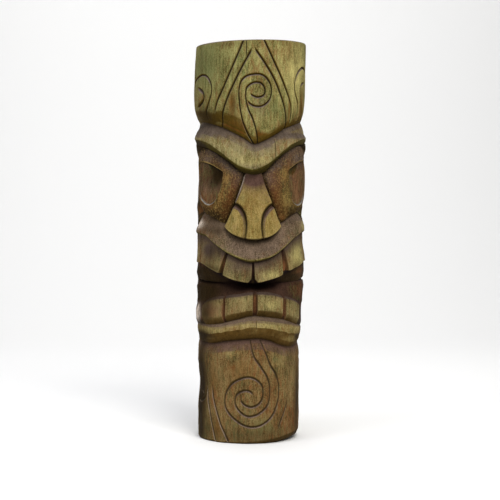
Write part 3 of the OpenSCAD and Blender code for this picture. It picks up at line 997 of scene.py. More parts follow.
class Nodes:
    """A material's node tree, with one method that adds any node."""

    def __init__(self, name: str) -> None:
        """Makes an empty node material of that name."""
        self.material = bpy.data.materials.new(name)
        self.material.use_nodes = True
        self.tree = self.material.node_tree
        self.tree.nodes.clear()

    def add(self, kind: str, settings: dict[str, object], sockets: dict[object, object]) -> bpy.types.Node:
        """Adds a node.

        Args:
            kind: the node's type.
            settings: its properties, set first; "stops" gives a ramp its (position, colour) stops.
            sockets: a value or a wire for each input, by name or number.

        Returns:
            The node.
        """
        node = self.tree.nodes.new(kind)
        for key, value in settings.items():
            if key == "stops":
                ramp = node.color_ramp
                while len(ramp.elements) < len(value):
                    ramp.elements.new(0.5)
                for element, (position, colour) in zip(ramp.elements, value):
                    element.position = position
                    element.color = (*colour, 1.0)
            else:
                setattr(node, key, value)
        for key, value in sockets.items():
            if isinstance(value, Wire):
                self.tree.links.new(value.socket, node.inputs[key])
            else:
                node.inputs[key].default_value = value
        return node

    def wire(self, kind: str, settings: dict[str, object], sockets: dict[object, object],
             output: object = 0) -> Wire:
        """Adds a node and returns one of its outputs as a wire."""
        return Wire(self, self.add(kind, settings, sockets).outputs[output])

    def noise(self, place: Wire, across: float, along: float, detail: float = 3.0,
              roughness: float = 0.55) -> Wire:
        """Noise whose features are so many to the metre across the grain and along it.

        Args:
            place: the vector it reads.
            across: its scale across the log.
            along: its scale along the log.
            detail: octaves.
            roughness: how strong the finer ones are.

        Returns:
            Its value.
        """
        scaled = self.wire("ShaderNodeVectorMath", {"operation": "MULTIPLY"},
                           {0: place, 1: (across, across, along)})
        return self.wire("ShaderNodeTexNoise", {"noise_dimensions": "3D"},
                         {"Vector": scaled, "Scale": 1.0, "Detail": detail,
                          "Roughness": roughness}, "Fac")

    def mix(self, share: Wire | float, first: Wire | Colour, second: Wire | Colour,
            blend: str = "MIX") -> Wire:
        """First colour blended towards the second by a share.

        Args:
            share: how much of the second.
            first: one colour.
            second: the other.
            blend: how they join.

        Returns:
            The colour.
        """

        def rgba(c: Wire | Colour) -> Wire | tuple[float, ...]:
            """A colour with its alpha, or the wire as it is."""
            return c if isinstance(c, Wire) else (*c, 1.0)

        node = self.add("ShaderNodeMix", {"data_type": "RGBA", "blend_type": blend},
                        {0: share, 6: rgba(first), 7: rgba(second)})
        return Wire(self, node.outputs[2])

    def ramp(self, share: Wire, dark: Colour, body: Colour, pale: Colour) -> Wire:
        """A colour that runs from dark through body to pale as its share rises."""
        return self.wire("ShaderNodeValToRGB", {"stops": [(0.1, dark), (0.5, body), (0.9, pale)]},
                         {0: share})

    def mark(self, name: str) -> Wire:
        """One of the piece's point attributes."""
        return self.wire("ShaderNodeAttribute", {"attribute_name": name}, {}, "Fac")

    def finish(self, **sockets: object) -> bpy.types.Material:
        """Ends the tree in one plain shader. An underscore in a socket's name is a space.

        Args:
            sockets: the shader's inputs.

        Returns:
            The material.
        """
        named = {key.replace("_", " "): value for key, value in sockets.items()}
        shader = self.add("ShaderNodeBsdfPrincipled", {}, named)
        self.add("ShaderNodeOutputMaterial", {}, {"Surface": Wire(self, shader.outputs[0])})
        return self.material


def rgb(red: int, green: int, blue: int) -> Colour:
    """A colour on the usual 0 to 255 scale as linear light."""
    return tuple(((c / 255.0 + 0.055) / 1.055) ** 2.4 if c > 10 else c / 3295.0
                 for c in (red, green, blue))


@dataclass(frozen=True)
class Stain:
    """Weathered stained wood, with light and shade painted in: sky light on faces turned up, shade
    on faces turned down, in hollows, under overhangs and in cuts, and highlights on proud edges
    and on the lit walls of cuts. Its grain runs straight up through every piece of the log.
    """

    name: str
    pale: Colour = rgb(150, 138, 92)
    body: Colour = rgb(122, 108, 66)
    dark: Colour = rgb(72, 58, 30)
    # sky: painted sky light, on faces turned up and under the violet marks.
    sky: Colour = rgb(100, 86, 76)
    # under: painted shade on faces turned down.
    under: Colour = rgb(70, 54, 24)
    # soot: painted shade in hollows and under overhangs.
    painted_shade: Colour = rgb(26, 18, 6)
    amber: Colour = rgb(92, 58, 18)
    # worn: worn edges with a painted highlight, and the pale flecks.
    worn: Colour = rgb(146, 138, 84)
    warm: Colour = rgb(116, 72, 40)
    cool: Colour = rgb(88, 92, 52)
    # groove: painted shade at the bottom of incised lines.
    groove: Colour = rgb(28, 21, 9)
    straw: Colour = rgb(172, 160, 100)
    # frost: painted highlight on the lit walls of cuts and along the rims' lower edges.
    frost: Colour = rgb(118, 106, 98)
    moss: Colour = rgb(90, 94, 56)
    # umber: dark stain, and painted shade where the umber marks lie in shade.
    umber: Colour = rgb(38, 27, 10)
    # bleach: bleached wood, and painted light on the nose's left wall and the lip's left corner.
    bleach: Colour = rgb(196, 180, 164)
    chroma: float = 0.5
    grit: float = 2.0
    # wear: how strongly proud edges take the worn colour with its painted highlight.
    wear: float = 0.6
    flecks: float = 0.0
    # painted_shade_amount: how strong the painted shade is.
    painted_shade_amount: float = 1.0
    # rime: how strong the painted highlight is.
    painted_highlight_share: float = 0.45
    # inked: how strong the painted shade in the cuts is.
    painted_groove_shade: float = 0.96
    ends: bool = False

    def material(self) -> bpy.types.Material:
        """The stain as a node material, made once and then shared.

        Returns:
            The material.
        """
        found = bpy.data.materials.get(self.name)
        if found is not None:
            return found
        n = Nodes(self.name)
        place = n.wire("ShaderNodeTexCoord", {}, {}, "Object")
        normal = n.wire("ShaderNodeTexCoord", {}, {}, "Normal")
        facing = n.wire("ShaderNodeSeparateXYZ", {}, {0: normal}, "Z")
        streak = n.noise(place, 150.0, 9.0, 4.0, 0.6)
        dash = n.noise(place, 330.0, 70.0, 3.0, 0.6)
        fibre = n.noise(place, 1300.0, 60.0, 2.0, 0.6)
        mottle = n.noise(place, 34.0, 20.0, 4.0, 0.62)
        speck = n.noise(place, 560.0, 380.0, 3.0, 0.7)
        hue = n.noise(place, 210.0, 60.0, 4.0, 0.65)
        drift = n.noise(place, 13.0, 8.0, 2.0, 0.5)
        tone = (0.5 + (streak - 0.5) * 0.9 + (dash - 0.5) * 0.9 + (fibre - 0.5) * 0.6
                + (mottle - 0.5) * 1.4 + (speck - 0.5) * self.grit)
        colour = n.ramp(tone, self.dark, self.body, self.pale)
        tinge = hue * 0.65 + drift * 0.35
        colour = n.mix(tinge.between(0.5, 0.64) * self.chroma, colour, self.warm)
        colour = n.mix((1.0 - tinge).between(0.5, 0.64) * self.chroma, colour, self.cool)
        shading = 0.55 + 0.9 * tone
        grey = n.wire("ShaderNodeCombineXYZ", {}, {0: shading, 1: shading, 2: shading})

        def toned(c: Colour) -> Wire:
            """A flat colour with the grain's light and dark in it."""
            return n.mix(1.0, c, grey, "MULTIPLY")

        rough_edge = (mottle - 0.5) * 0.7 + (speck - 0.5) * 0.5 + (dash - 0.5) * 0.4

        def tinted(base: Wire, tint: Tint, flat: Colour) -> Wire:
            """The colour with a stain laid on it where its mark is, in a ragged edge."""
            mark = n.mark(tint.value)
            return n.mix((mark + rough_edge * mark * 1.4).between(0.02, 1.0), base, toned(flat))

        colour = tinted(colour, Tint.STRAW, self.straw)
        colour = tinted(colour, Tint.AMBER, self.amber)
        colour = tinted(colour, Tint.MOSS, self.moss)
        # Painted sky light: faces turned up, and the violet marks, take the sky colour.
        up = (facing + rough_edge * 0.5).between(0.06, 0.5)
        violet = n.mark(Tint.VIOLET.value)
        colour = n.mix(up.most(violet + rough_edge * violet), colour, toned(self.sky))
        # Painted shade: faces turned down take the under colour.
        colour = n.mix((0.0 - facing + rough_edge * 0.3).between(0.04, 0.4), colour, toned(self.under))
        # The umber marks are partly stain and partly painted shade; the bleach marks partly bleached wood
        # and partly painted light.
        colour = tinted(colour, Tint.UMBER, self.umber)
        colour = tinted(colour, Tint.BLEACH_AND_LIGHT, self.bleach)
        if self.flecks > 0.0:
            fleck = n.noise(place, 300.0, 260.0, 3.0, 0.7)
            colour = n.mix(fleck.between(0.54, 0.64) * self.flecks, colour, self.worn)
            colour = n.mix((1.0 - fleck).between(0.54, 0.64) * self.flecks, colour, self.dark)
        # Worn edges with a painted highlight: proud edges take the worn colour.
        edge = n.mark("wear") * (0.4 + 1.2 * mottle)
        colour = n.mix(edge.between(0.15, 0.7) * self.wear, colour, toned(self.worn))
        # Painted shade: hollows, and the parts under overhangs, take the soot colour.
        sink = (n.mark("hollow") * 0.75).most(n.mark("shade")) + rough_edge * 0.5
        colour = n.mix(sink.between(0.2, 0.95) * self.painted_shade_amount, colour, toned(self.painted_shade))
        # Painted highlight on the lit walls of cuts and along the rims' lower edges.
        painted_highlight_share = (n.mark("frost") * (0.2 + 0.9 * mottle + 0.7 * speck)).between(0.25, 1.0)
        colour = n.mix(painted_highlight_share * self.painted_highlight_share, colour, toned(self.frost))
        # Painted shade at the bottom of incised lines, weaker where they face up.
        line = n.mark("line").between(0.22, 0.75) * (1.0 - facing.between(0.1, 0.6) * 0.6)
        colour = n.mix(line * self.painted_groove_shade, colour, self.groove)
        colour = n.mix(n.mark("side"), colour, self.log_wood(n, tone, tinge))
        if self.ends:
            colour = self.end_grain(n, place, facing, tone, colour)
        height = streak * 0.3 + dash * 0.3 + fibre * 0.25 + speck * 0.4 + mottle * 0.8
        bump = n.wire("ShaderNodeBump", {}, {"Strength": 0.6, "Distance": 0.0012, "Height": height})
        return n.finish(Base_Color=colour, Roughness=0.9 - 0.2 * tone, Normal=bump,
                        Specular_IOR_Level=0.05)

    def log_wood(self, n: Nodes, tone: Wire, tinge: Wire) -> Wire:
        """The uncarved log's colour, the same in every stain, so that the carving dies out into it.

        Args:
            n: the node tree.
            tone: the grain's tone.
            tinge: where the wood is warmer or cooler.

        Returns:
            The colour, with painted shade in its drying checks.
        """
        wood = n.ramp(tone, rgb(62, 52, 26), rgb(108, 96, 56), rgb(136, 124, 78))
        wood = n.mix(tinge.between(0.5, 0.64) * 0.5, wood, rgb(108, 74, 42))
        wood = n.mix((1.0 - tinge).between(0.5, 0.64) * 0.5, wood, rgb(88, 92, 52))
        # Painted shade in the drying checks.
        return n.mix(n.mark("line").between(0.22, 0.75) * 0.96, wood, rgb(28, 21, 9))

    def end_grain(self, n: Nodes, place: Wire, facing: Wire, tone: Wire, colour: Wire) -> Wire:
        """Year rings on the sawn ends: a sine of the distance from the pith, shaken by noise.

        Args:
            n: the node tree.
            place: object coordinates.
            facing: the normal's upward part.
            tone: the grain's tone.
            colour: the colour away from the ends.

        Returns:
            The colour with the ends in it.
        """
        flat = n.wire("ShaderNodeVectorMath", {"operation": "MULTIPLY"}, {0: place, 1: (1.0, 1.08, 0.0)})
        off = n.wire("ShaderNodeVectorMath", {"operation": "ADD"}, {0: flat, 1: (0.011, -0.007, 0.0)})
        away = n.wire("ShaderNodeVectorMath", {"operation": "LENGTH"}, {0: off}, "Value")
        shaken = away + n.noise(place, 22.0, 4.0, 2.0) * 0.012
        ring = (shaken * (2.0 * math.pi / 0.0052)).sine() * 0.5 + 0.5
        fine = n.noise(place, 900.0, 10.0, 2.0)
        ends = n.mix((ring * 0.6 + fine * 0.6).between(0.1, 0.95), rgb(84, 66, 44), rgb(142, 122, 88))
        ends = n.mix(away.between(0.1, 0.125) * 0.5, ends, rgb(74, 60, 40))
        return n.mix((facing * facing).between(0.9, 0.98), colour, ends)


class Finish(Enum):
    """The finishes on the log."""

    CROWN = Stain("stain_crown", pale=rgb(156, 149, 94), body=rgb(122, 114, 67), dark=rgb(70, 62, 28),
                  under=rgb(76, 58, 14), worn=rgb(152, 146, 92), ends=True, wear=0.4, painted_highlight_share=0.3,
                  chroma=0.6, warm=rgb(118, 78, 46), cool=rgb(92, 104, 60))
    BROW = Stain("stain_brow", pale=rgb(160, 148, 104), body=rgb(136, 124, 82), dark=rgb(86, 74, 42),
                 sky=rgb(88, 76, 66), under=rgb(66, 56, 16), painted_shade_amount=0.7)
    GROUND = Stain("stain_ground", pale=rgb(72, 56, 30), body=rgb(52, 40, 20), dark=rgb(28, 20, 8),
                   sky=rgb(44, 34, 20), wear=0.0)
    RIM = Stain("stain_eye_rim", pale=rgb(116, 84, 46), body=rgb(88, 60, 30), dark=rgb(46, 29, 12),
                sky=rgb(88, 74, 64), flecks=0.45, worn=rgb(146, 120, 68), under=rgb(56, 40, 14), wear=0.7,
                straw=rgb(140, 112, 60), amber=rgb(84, 50, 24), frost=rgb(124, 126, 122), painted_highlight_share=0.8,
                painted_shade_amount=0.75, grit=2.6)
    EYE = Stain("stain_eye", pale=rgb(112, 86, 58), body=rgb(84, 60, 38), dark=rgb(48, 34, 20),
                sky=rgb(88, 72, 62), wear=0.2, chroma=0.6, painted_shade_amount=0.75, amber=rgb(116, 80, 54))
    NOSE = Stain("stain_nose", pale=rgb(162, 140, 86), body=rgb(134, 114, 62), dark=rgb(98, 78, 38),
                 sky=rgb(78, 57, 49), worn=rgb(150, 134, 80), wear=0.3, chroma=0.35,
                 frost=rgb(96, 80, 70), painted_highlight_share=0.85)
    LIP = Stain("stain_lip", pale=rgb(128, 108, 82), body=rgb(102, 86, 60), dark=rgb(60, 46, 32),
                sky=rgb(96, 80, 66), worn=rgb(130, 120, 68), under=rgb(64, 52, 18), wear=0.65,
                painted_shade=rgb(44, 34, 16), painted_shade_amount=0.75, painted_highlight_share=0.3, grit=3.2)
    TEETH = Stain("stain_teeth", pale=rgb(150, 134, 88), body=rgb(120, 106, 67), dark=rgb(76, 60, 34),
                  sky=rgb(73, 59, 51), worn=rgb(142, 128, 84), wear=0.2, under=rgb(72, 54, 22),
                  amber=rgb(100, 68, 44))
    MOUTH = Stain("stain_mouth", pale=rgb(58, 40, 26), body=rgb(40, 27, 17), dark=rgb(22, 13, 8),
                  sky=rgb(60, 42, 33), painted_shade=rgb(16, 6, 8), worn=rgb(70, 56, 30), under=rgb(40, 29, 12),
                  wear=0.3, painted_shade_amount=0.9, amber=rgb(116, 76, 46), painted_highlight_share=0.0)
    LOWER_LIP = Stain("stain_lower_lip", pale=rgb(162, 146, 96), body=rgb(136, 118, 72),
                      dark=rgb(90, 72, 36), under=rgb(78, 57, 22), sky=rgb(94, 78, 64),
                      worn=rgb(156, 142, 92), wear=0.3)
    CHIN = Stain("stain_chin", pale=rgb(138, 116, 76), body=rgb(110, 88, 52), dark=rgb(66, 50, 26),
                 sky=rgb(84, 64, 55), cool=rgb(86, 86, 52), chroma=0.65, wear=0.2,
                 groove=rgb(50, 44, 30), painted_groove_shade=0.8, painted_highlight_share=0.7, frost=rgb(132, 116, 100))
    BACK = Stain("stain_back", ends=True)


# ---------------------------------------------------------------- the carved forms

@dataclass
class LogBack:
    """The heart and the uncarved back of the log, with both sawn ends and its drying checks."""

    carver: Carver
    edge_r: float = 3.0
    checks: tuple[Line, ...] = (
        Line(((152, 905), (153, 760), (151, 600), (153, 440), (152, 330)), 2.0, 7.0, (0.0, 0.3)),
        Line(((187, -5), (186, 120), (188, 290), (187, 420)), 1.7, 6.0, (0.0, 0.4)),
        Line(((214, 905), (213, 800), (215, 655)), 1.5, 5.0, (0.0, 0.5)),
        Line(((232, 560), (231, 430), (233, 250)), 1.4, 4.0, (0.5, 0.5)),
        Line(((130, 480), (131, 350), (129, 190)), 1.3, 4.0, (0.5, 0.5)))

    def pieces(self) -> list[Piece]:
        """Rings of places at each height: round the back on the log's surface, with its edges
        rounded to a quarter circle at each end, and across the front on the heart's cylinder.

        Returns:
            The one piece.
        """
        the_log = self.carver.log
        end = the_log.front_a + 0.15
        z = np.concatenate([[0.0, 0.4, 1.0, 2.0, 3.2], np.linspace(6.0, 894.0, 330),
                            [896.8, 898.0, 899.0, 899.6, 900.0]])
        back = np.linspace(end, 360.0 - end, 215)
        heart = np.linspace(-end, end, 60)
        a = np.concatenate([back, heart])
        aa, zz = np.meshgrid(a, z, indexing="xy")
        near = np.minimum(np.minimum(zz, 900.0 - zz), self.edge_r)
        rounding = self.edge_r - np.sqrt(self.edge_r ** 2 - (self.edge_r - near) ** 2)
        depth = np.zeros(zz.shape)
        on_back = np.arange(len(a)) < len(back)
        cuts, mask, _ = incise(aa[:, on_back], zz[:, on_back], self.checks)
        ends = ease((aa[:, on_back] - end) / 4.0) * ease((360.0 - end - aa[:, on_back]) / 4.0)
        marks = 0.5 * uneven(aa[:, on_back], zz[:, on_back], 16.0, 31, 3.0) * ends
        depth[:, on_back] = rounding[:, on_back] + cuts + marks
        heart_depth = the_log.radius(aa, zz) - the_log.heart_r
        depth[:, ~on_back] = heart_depth[:, ~on_back]
        line = np.zeros(zz.shape)
        line[:, on_back] = mask
        rows, cols = zz.shape
        ring = np.arange(cols)
        skin = np.broadcast_to(on_back, zz.shape)
        return [Piece("log_back", ("log_body",), "log_wood", Finish.BACK.value, aa.ravel(), zz.ravel(),
                      depth.ravel(), [grid_quads(rows, cols, False, True), ring[::-1][None],
                                      ring[None] + (rows - 1) * cols],
                      [False, True, True], skin.ravel().copy(), {"line": line.ravel()})]


@dataclass
class Crown:
    """The smooth forehead, with an incised arch and spirals, turning in to the brow's valley."""

    carver: Carver
    turn_in: float = 56.0
    valley_centre: float = 12.5
    valley_left: float = 12.0
    valley_right: float = 9.5
    edge_r: float = 1.3
    turn: Places = ((40, 0.02, 0.07, 0.1), (27, 0.06, 0.2, 0.25), (16, 0.14, 0.45, 0.5),
                    (8, 0.34, 0.72, 0.76), (0, 1.0, 1.0, 1.0))
    lines: tuple[Line, ...] = (
        Line(((-11.5, 903), (-21.5, 852), (-33.5, 795), (-40.5, 765), (-46.5, 728)), 2.9, 3.4, (0.0, 0.15)),
        Line(((-3.2, 881), (-13.5, 841), (-22.5, 802), (-31.5, 758), (-39.5, 705)), 3.2, 3.4, (0.06, 0.0)),
        Line(((-1.5, 882), (10.5, 845), (20.5, 811), (30.5, 765), (34.5, 736), (36.5, 705)), 3.2, 3.4,
             (0.06, 0.0)),
        Line(((7.5, 903), (18.5, 856), (28.5, 816), (38.5, 774), (42.5, 747), (41.5, 708)), 2.9, 3.4,
             (0.0, 0.1)),
        Line(((-1.0, 670), (-7.0, 690), (-12.0, 715), (-15.0, 743), (-16.5, 770), (-16.6, 792),
              (-14.0, 810), (-7.5, 821), (3.5, 824), (10.5, 817), (15.5, 802), (16.8, 785),
              (14.0, 766), (7.0, 754), (0.0, 753), (-5.0, 758), (-8.6, 766)), 2.7, 3.2, (0.0, 0.03)),
        Line(((3.2, 668), (1.6, 694), (-2.0, 722), (-6.8, 745), (-9.2, 764), (-9.8, 781), (-8.4, 795),
              (-2.0, 805), (5.5, 804), (9.6, 792), (8.6, 778), (2.5, 773), (-3.0, 777), (-5.2, 782)),
             2.7, 3.2, (0.0, 0.03)),
        Line(((-58, 722), (-57, 742), (-51.5, 766), (-48, 788), (-49, 806), (-54, 822), (-62, 828),
              (-72.5, 824), (-83, 814), (-93, 796)), 2.9, 3.2, (0.1, 0.1)),
        Line(((-71.5, 800), (-61.5, 787), (-62.0, 768), (-73.5, 755)), 4.2, 5.0, (0.15, 0.15)),
        Line(((54.5, 722), (54.5, 758), (49.5, 783), (47.5, 803), (51.5, 827), (60.5, 842),
              (70, 843), (80, 834), (88, 815)), 2.8, 3.2, (0.05, 0.2)),
        Line(((70.5, 814), (60.5, 803), (61.0, 769), (66.5, 745), (70, 724)), 2.6, 3.0, (0.1, 0.05)),
        Line(((-9.2, 906), (-9.4, 884), (-8.6, 852)), 1.7, 3.0, (0.0, 0.3)),
        Line(((-8.6, 846), (-8.4, 815)), 1.3, 1.4, (0.4, 0.4)),
        Line(((-68, 905), (-67.5, 880), (-68, 850)), 1.4, 1.6, (0.0, 0.5)))

    def rails(self, a: Array) -> Rails:
        """Rails from the rounded top edge down to the valley. Each row of turn holds a height
        over the valley, and shares of its depth at the centre, at the left and at the right.

        Args:
            a: angles.

        Returns:
            Its (height, depth) rails.
        """
        v, e, whole = outline(BROW_VALLEY, a), self.edge_r, 0.0 * a
        edge = [(LOG_TOP + whole, e + whole), (LOG_TOP - 0.4 + whole, 0.45 * e + whole),
                (LOG_TOP - 1.4 + whole, 0.15 * e + whole), (LOG_TOP - 3.5 + whole, whole),
                (v + self.turn_in, whole)]
        return edge + [(v + over, cut(a, c * self.valley_centre, l * self.valley_left,
                                      r * self.valley_right)) for over, c, l, r in self.turn]

    def bevel(self, a: Array, z: Array) -> Array:
        """Depth of the flat facet over the valley on the left, under a crisp arris.

        Args:
            a: angles.
            z: heights.

        Returns:
            The depth that it adds.
        """
        v = outline(BROW_VALLEY, a)
        tall = 1.0 + 37.0 * ease((a + 62.0) / 26.0) * ease((2.0 - a) / 16.0)
        down = np.clip((v + tall - z) / tall, 0.0, 1.0)
        return 6.0 * down * ease((tall - 4.0) / 16.0) * ease((z - v) / 13.0)

    def pieces(self) -> list[Piece]:
        """The crown's one piece."""
        return [self.carver.band("crown", "crown", "crown_wood", Finish.CROWN.value, 0.5, self.rails,
                                 (2, 2, 3, 146, 16, 12, 11, 8, 8), 1.6, 0.3, self.lines, self.bevel)]


@dataclass
class Brow:
    """The V-shaped brow: a convex top that faces the sky, a crisp edge, and the cut under it."""

    carver: Carver
    tuck: float = 5.0
    foot_centre: float = 24.0
    foot_side: float = 7.0
    top: Places = ((0, 16, 12, 9.5), (0.14, 11.6, 9.2, 7), (0.32, 7.4, 6, 4.6),
                   (0.58, 3.8, 2.2, 2.0), (0.86, 2.2, 0.4, 0.5), (1, 2.4, 0.4, 0.4))
    checks: tuple[Line, ...] = (
        Line(((22.6, 690), (22.9, 662), (22.7, 632)), 0.9, 2.2, (0.2, 0.0)),
        Line(((-1.2, 655), (-0.8, 634), (-1.0, 612)), 0.9, 1.6, (0.4, 0.0)))

    def rails(self, a: Array) -> Rails:
        """Rails from under the crown down to the ground behind the eyes.

        Args:
            a: angles.

        Returns:
            Its (height, depth) rails.
        """
        v, e, f = outline(BROW_VALLEY, a), outline(BROW_EDGE, a), outline(BROW_FOOT, a)
        top = steps(a, v, e, self.top)
        return [(v + self.tuck, top[0][1] + 5 * fade(a)), *top,
                (e + 0.18 * (f - e), cut(a, 5.5, 1.8)),
                (f, cut(a, self.foot_centre, self.foot_side))]

    def pieces(self) -> list[Piece]:
        """The brow's one piece."""
        return [self.carver.band("brow", "brow", "brow_wood", Finish.BROW.value, 0.6, self.rails,
                                 (3, 8, 10, 15, 15, 8, 4, 12), 0.9, 0.45, self.checks)]


@dataclass
class Eyes:
    """The sunken ground of the face, and on it two raised rims round two sunken, tilted eyes.
    Each rim is a loop of (angle, height, depth) pairs: its outer foot, and its edge over the eye."""

    carver: Carver
    sink_top: float = 14.0
    sink_low: float = 4.5
    left: tuple[tuple[Places, ...], ...] = (
        ((-15, 604, 24), (-38, 605, 11)), ((-18.5, 577, 23), (-38.3, 592, 9)),
        ((-23, 555, 22), (-39.3, 575, 8)), ((-28.5, 528, 21), (-42.5, 558, 7)),
        ((-37.5, 495, 19), (-47.2, 544, 6.5)), ((-50, 502, 15), (-52, 537, 6)),
        ((-62, 510, 13), (-57.5, 534.5, 5.5)), ((-72, 517, 11), (-65, 539, 4.5)),
        ((-82, 542, 9), (-75, 555, 3)), ((-90, 580, 8), (-84, 584, 2)),
        ((-93, 620, 8), (-88.5, 612, 2)), ((-88, 652, 10), (-85, 632, 3)),
        ((-74, 664, 14), (-69, 632, 5)), ((-58, 656, 17), (-55, 625, 8)),
        ((-42, 640, 20), (-46, 617, 10)), ((-28, 623, 23), (-40, 611, 11)))
    right: tuple[tuple[Places, ...], ...] = (
        ((13.5, 604, 24), (44.5, 610, 11)), ((16.5, 580, 23), (44.3, 598, 9)),
        ((21, 556, 22), (44.6, 578, 8)), ((27, 527, 21), (46, 560, 7)),
        ((36, 497, 19), (49.8, 545, 6.5)), ((49, 509, 15), (55.5, 537, 6.5)),
        ((62, 517, 13), (61.5, 535, 5.5)), ((73, 523, 11), (70, 541, 4.5)),
        ((83, 545, 9), (78, 560, 3)), ((90, 580, 8), (84.5, 588, 2)),
        ((92, 620, 8), (87, 616, 2)), ((87, 654, 10), (84, 635, 3)),
        ((74, 669, 14), (71, 636, 5)), ((60, 669, 17), (61, 631, 8)),
        ((43, 652, 20), (52, 623, 10)), ((28, 630, 23), (46.3, 616, 11)))

    def sunk(self, a: Array, tilt: Array) -> Array:
        """Depth of the eye below its rim: from sink_low at the bottom to sink_top at the top,
        and a quarter of that at the log's side."""
        return ((self.sink_low + (self.sink_top - self.sink_low) * tilt)
                * (1.0 - 0.75 * ease((np.abs(a) - 58.0) / 26.0)))

    def ground_rails(self, a: Array) -> Rails:
        """Rails of the ground, from under the brow to the lip's valley.

        Args:
            a: angles.

        Returns:
            Its (height, depth) rails.
        """
        f, v = outline(BROW_FOOT, a), outline(LIP_VALLEY, a)
        return [(f + 5, ground(a) + 4 * fade(a)), (f, ground(a)), (v + 0.5 * (f - v), ground(a)),
                (v - 1, ground(a))]

    def sides(self, a: Array, z: Array) -> Array:
        """Less depth on both sides, where the log is left nearly whole below and over the rims.

        Args:
            a: angles.
            z: heights.

        Returns:
            The depth that it adds, 0 or less.
        """
        low = ease((566.0 - z) / 40.0)
        high = ease((z - 628.0) / 26.0) * ease((np.abs(a) - 74.0) / 12.0)
        left, right = ease((-a - 72.0) / 14.0), ease((a - 76.0) / 12.0)
        return -(7.5 * low * left + 5.0 * low * right + 5.0 * high) * fade(a)

    def rim(self, name: str, pairs: tuple[tuple[Places, ...], ...]) -> Piece:
        """A rim: a loop of profiles. Each runs from its buried foot up a parabola-like bulge to the
        edge over the eye, then down a steep wall into the eye, and back behind.

        Args:
            name: the node and piece.
            pairs: the outer and inner places.

        Returns:
            The piece.
        """
        count, over, down = 300, 34, 6  # points round the rim, over its bulge and down its wall
        t = np.arange(count) * len(pairs) / count
        foot = through(np.array([p[0] for p in pairs], float), t, True)[:, None]
        edge = through(np.array([p[1] for p in pairs], float), t, True)[:, None]
        share = np.linspace(0.0, 1.0, over)[None, :, None]
        place = foot + (edge - foot) * share
        a, z = place[..., 0], place[..., 1]
        s = share[..., 0]
        rise = 1.0 - (1.0 - s) ** 2.1
        foot_d = np.minimum(foot[..., 2], ground(foot[..., 0]) - 0.5)
        d = foot_d + (edge[..., 2] - foot_d) * rise
        middle = edge.mean(0, keepdims=True)
        drop = np.linspace(0.0, 1.0, down + 1)[None, 1:]
        inner = edge + (middle - edge) * (0.10 * drop[..., None])
        low, top = edge[..., 1].min(), edge[..., 1].max()
        sink = self.sunk(edge[..., 0], (edge[..., 1] - low) / (top - low))
        wall_d = edge[..., 2] + (sink + 3.0) * drop
        root = foot + 0.05 * (foot - edge)
        a = np.concatenate([root[..., 0], a, inner[..., 0]], 1)
        z = np.concatenate([root[..., 1], z, inner[..., 1]], 1)
        d = np.concatenate([ground(root[..., 0]) + 2.0, d, wall_d], 1)
        d = soften(d, 1, 1.1)
        mark = np.concatenate([[0.0], np.sin(np.linspace(0.0, math.pi, over)), np.zeros(down)])[None]
        d = d + mark * (0.55 * uneven(a, z, 12.0, 41, 1.3) + 0.35 * uneven(a, z, 5.0, 42))
        back = np.maximum(ground(a[:, [-1, 0]]) + 4.0, d[:, [-1, 0]] + 1.0)
        a = np.concatenate([a, a[:, [-1, 0]]], 1)
        z = np.concatenate([z, z[:, [-1, 0]]], 1)
        d = np.concatenate([d, back], 1)
        rows, cols = a.shape
        skin = np.broadcast_to(np.arange(cols) < cols - 2, a.shape)
        k = np.arange(cols)
        near_edge = np.exp(-((k - over - 0.5) / 1.5) ** 2)
        facing_in = ease((np.abs(a[:, :1]) - 78.0) / -14.0)
        bottom = ease((low + 26.0 - z[:, over:over + 1]) / 18.0)
        roll = k / over
        nose_side = ease((58.0 - np.abs(a[:, over:over + 1])) / 12.0) * ease((640.0 - z) / 30.0)
        # Painted light and shade on the rim: a worn edge with a painted highlight over the eye, a painted
        # highlight along its lower edge, and by the nose painted shade at the foot (umber), reddish brown
        # up the slope (amber) and a painted highlight near the edge (straw).
        paint = {"wear": near_edge * np.maximum(facing_in, 0.5) * (0.5 + 0.5 * uneven(a, z, 9.0, 43)),
                 "frost": near_edge * bottom,
                 "amber": 0.85 * nose_side * ease((0.72 - roll) / 0.5) * (k <= over),
                 "umber": 0.5 * nose_side * ease((0.26 - roll) / 0.24) * (k <= over),
                 "straw": (0.55 * nose_side * np.exp(-((roll - 0.78) / 0.22) ** 2)
                           * (0.8 + 0.6 * uneven(a, z, 16.0, 44)) * (k < over + 3))}
        paint = {key: np.clip(values, 0.0, 1.0).ravel() for key, values in paint.items()}
        return Piece(name, (name,), "eye_wood", Finish.RIM.value, a.ravel(), z.ravel(), d.ravel(),
                     [grid_quads(rows, cols, True, True)], [False], skin.ravel().copy(), paint, 0.8)

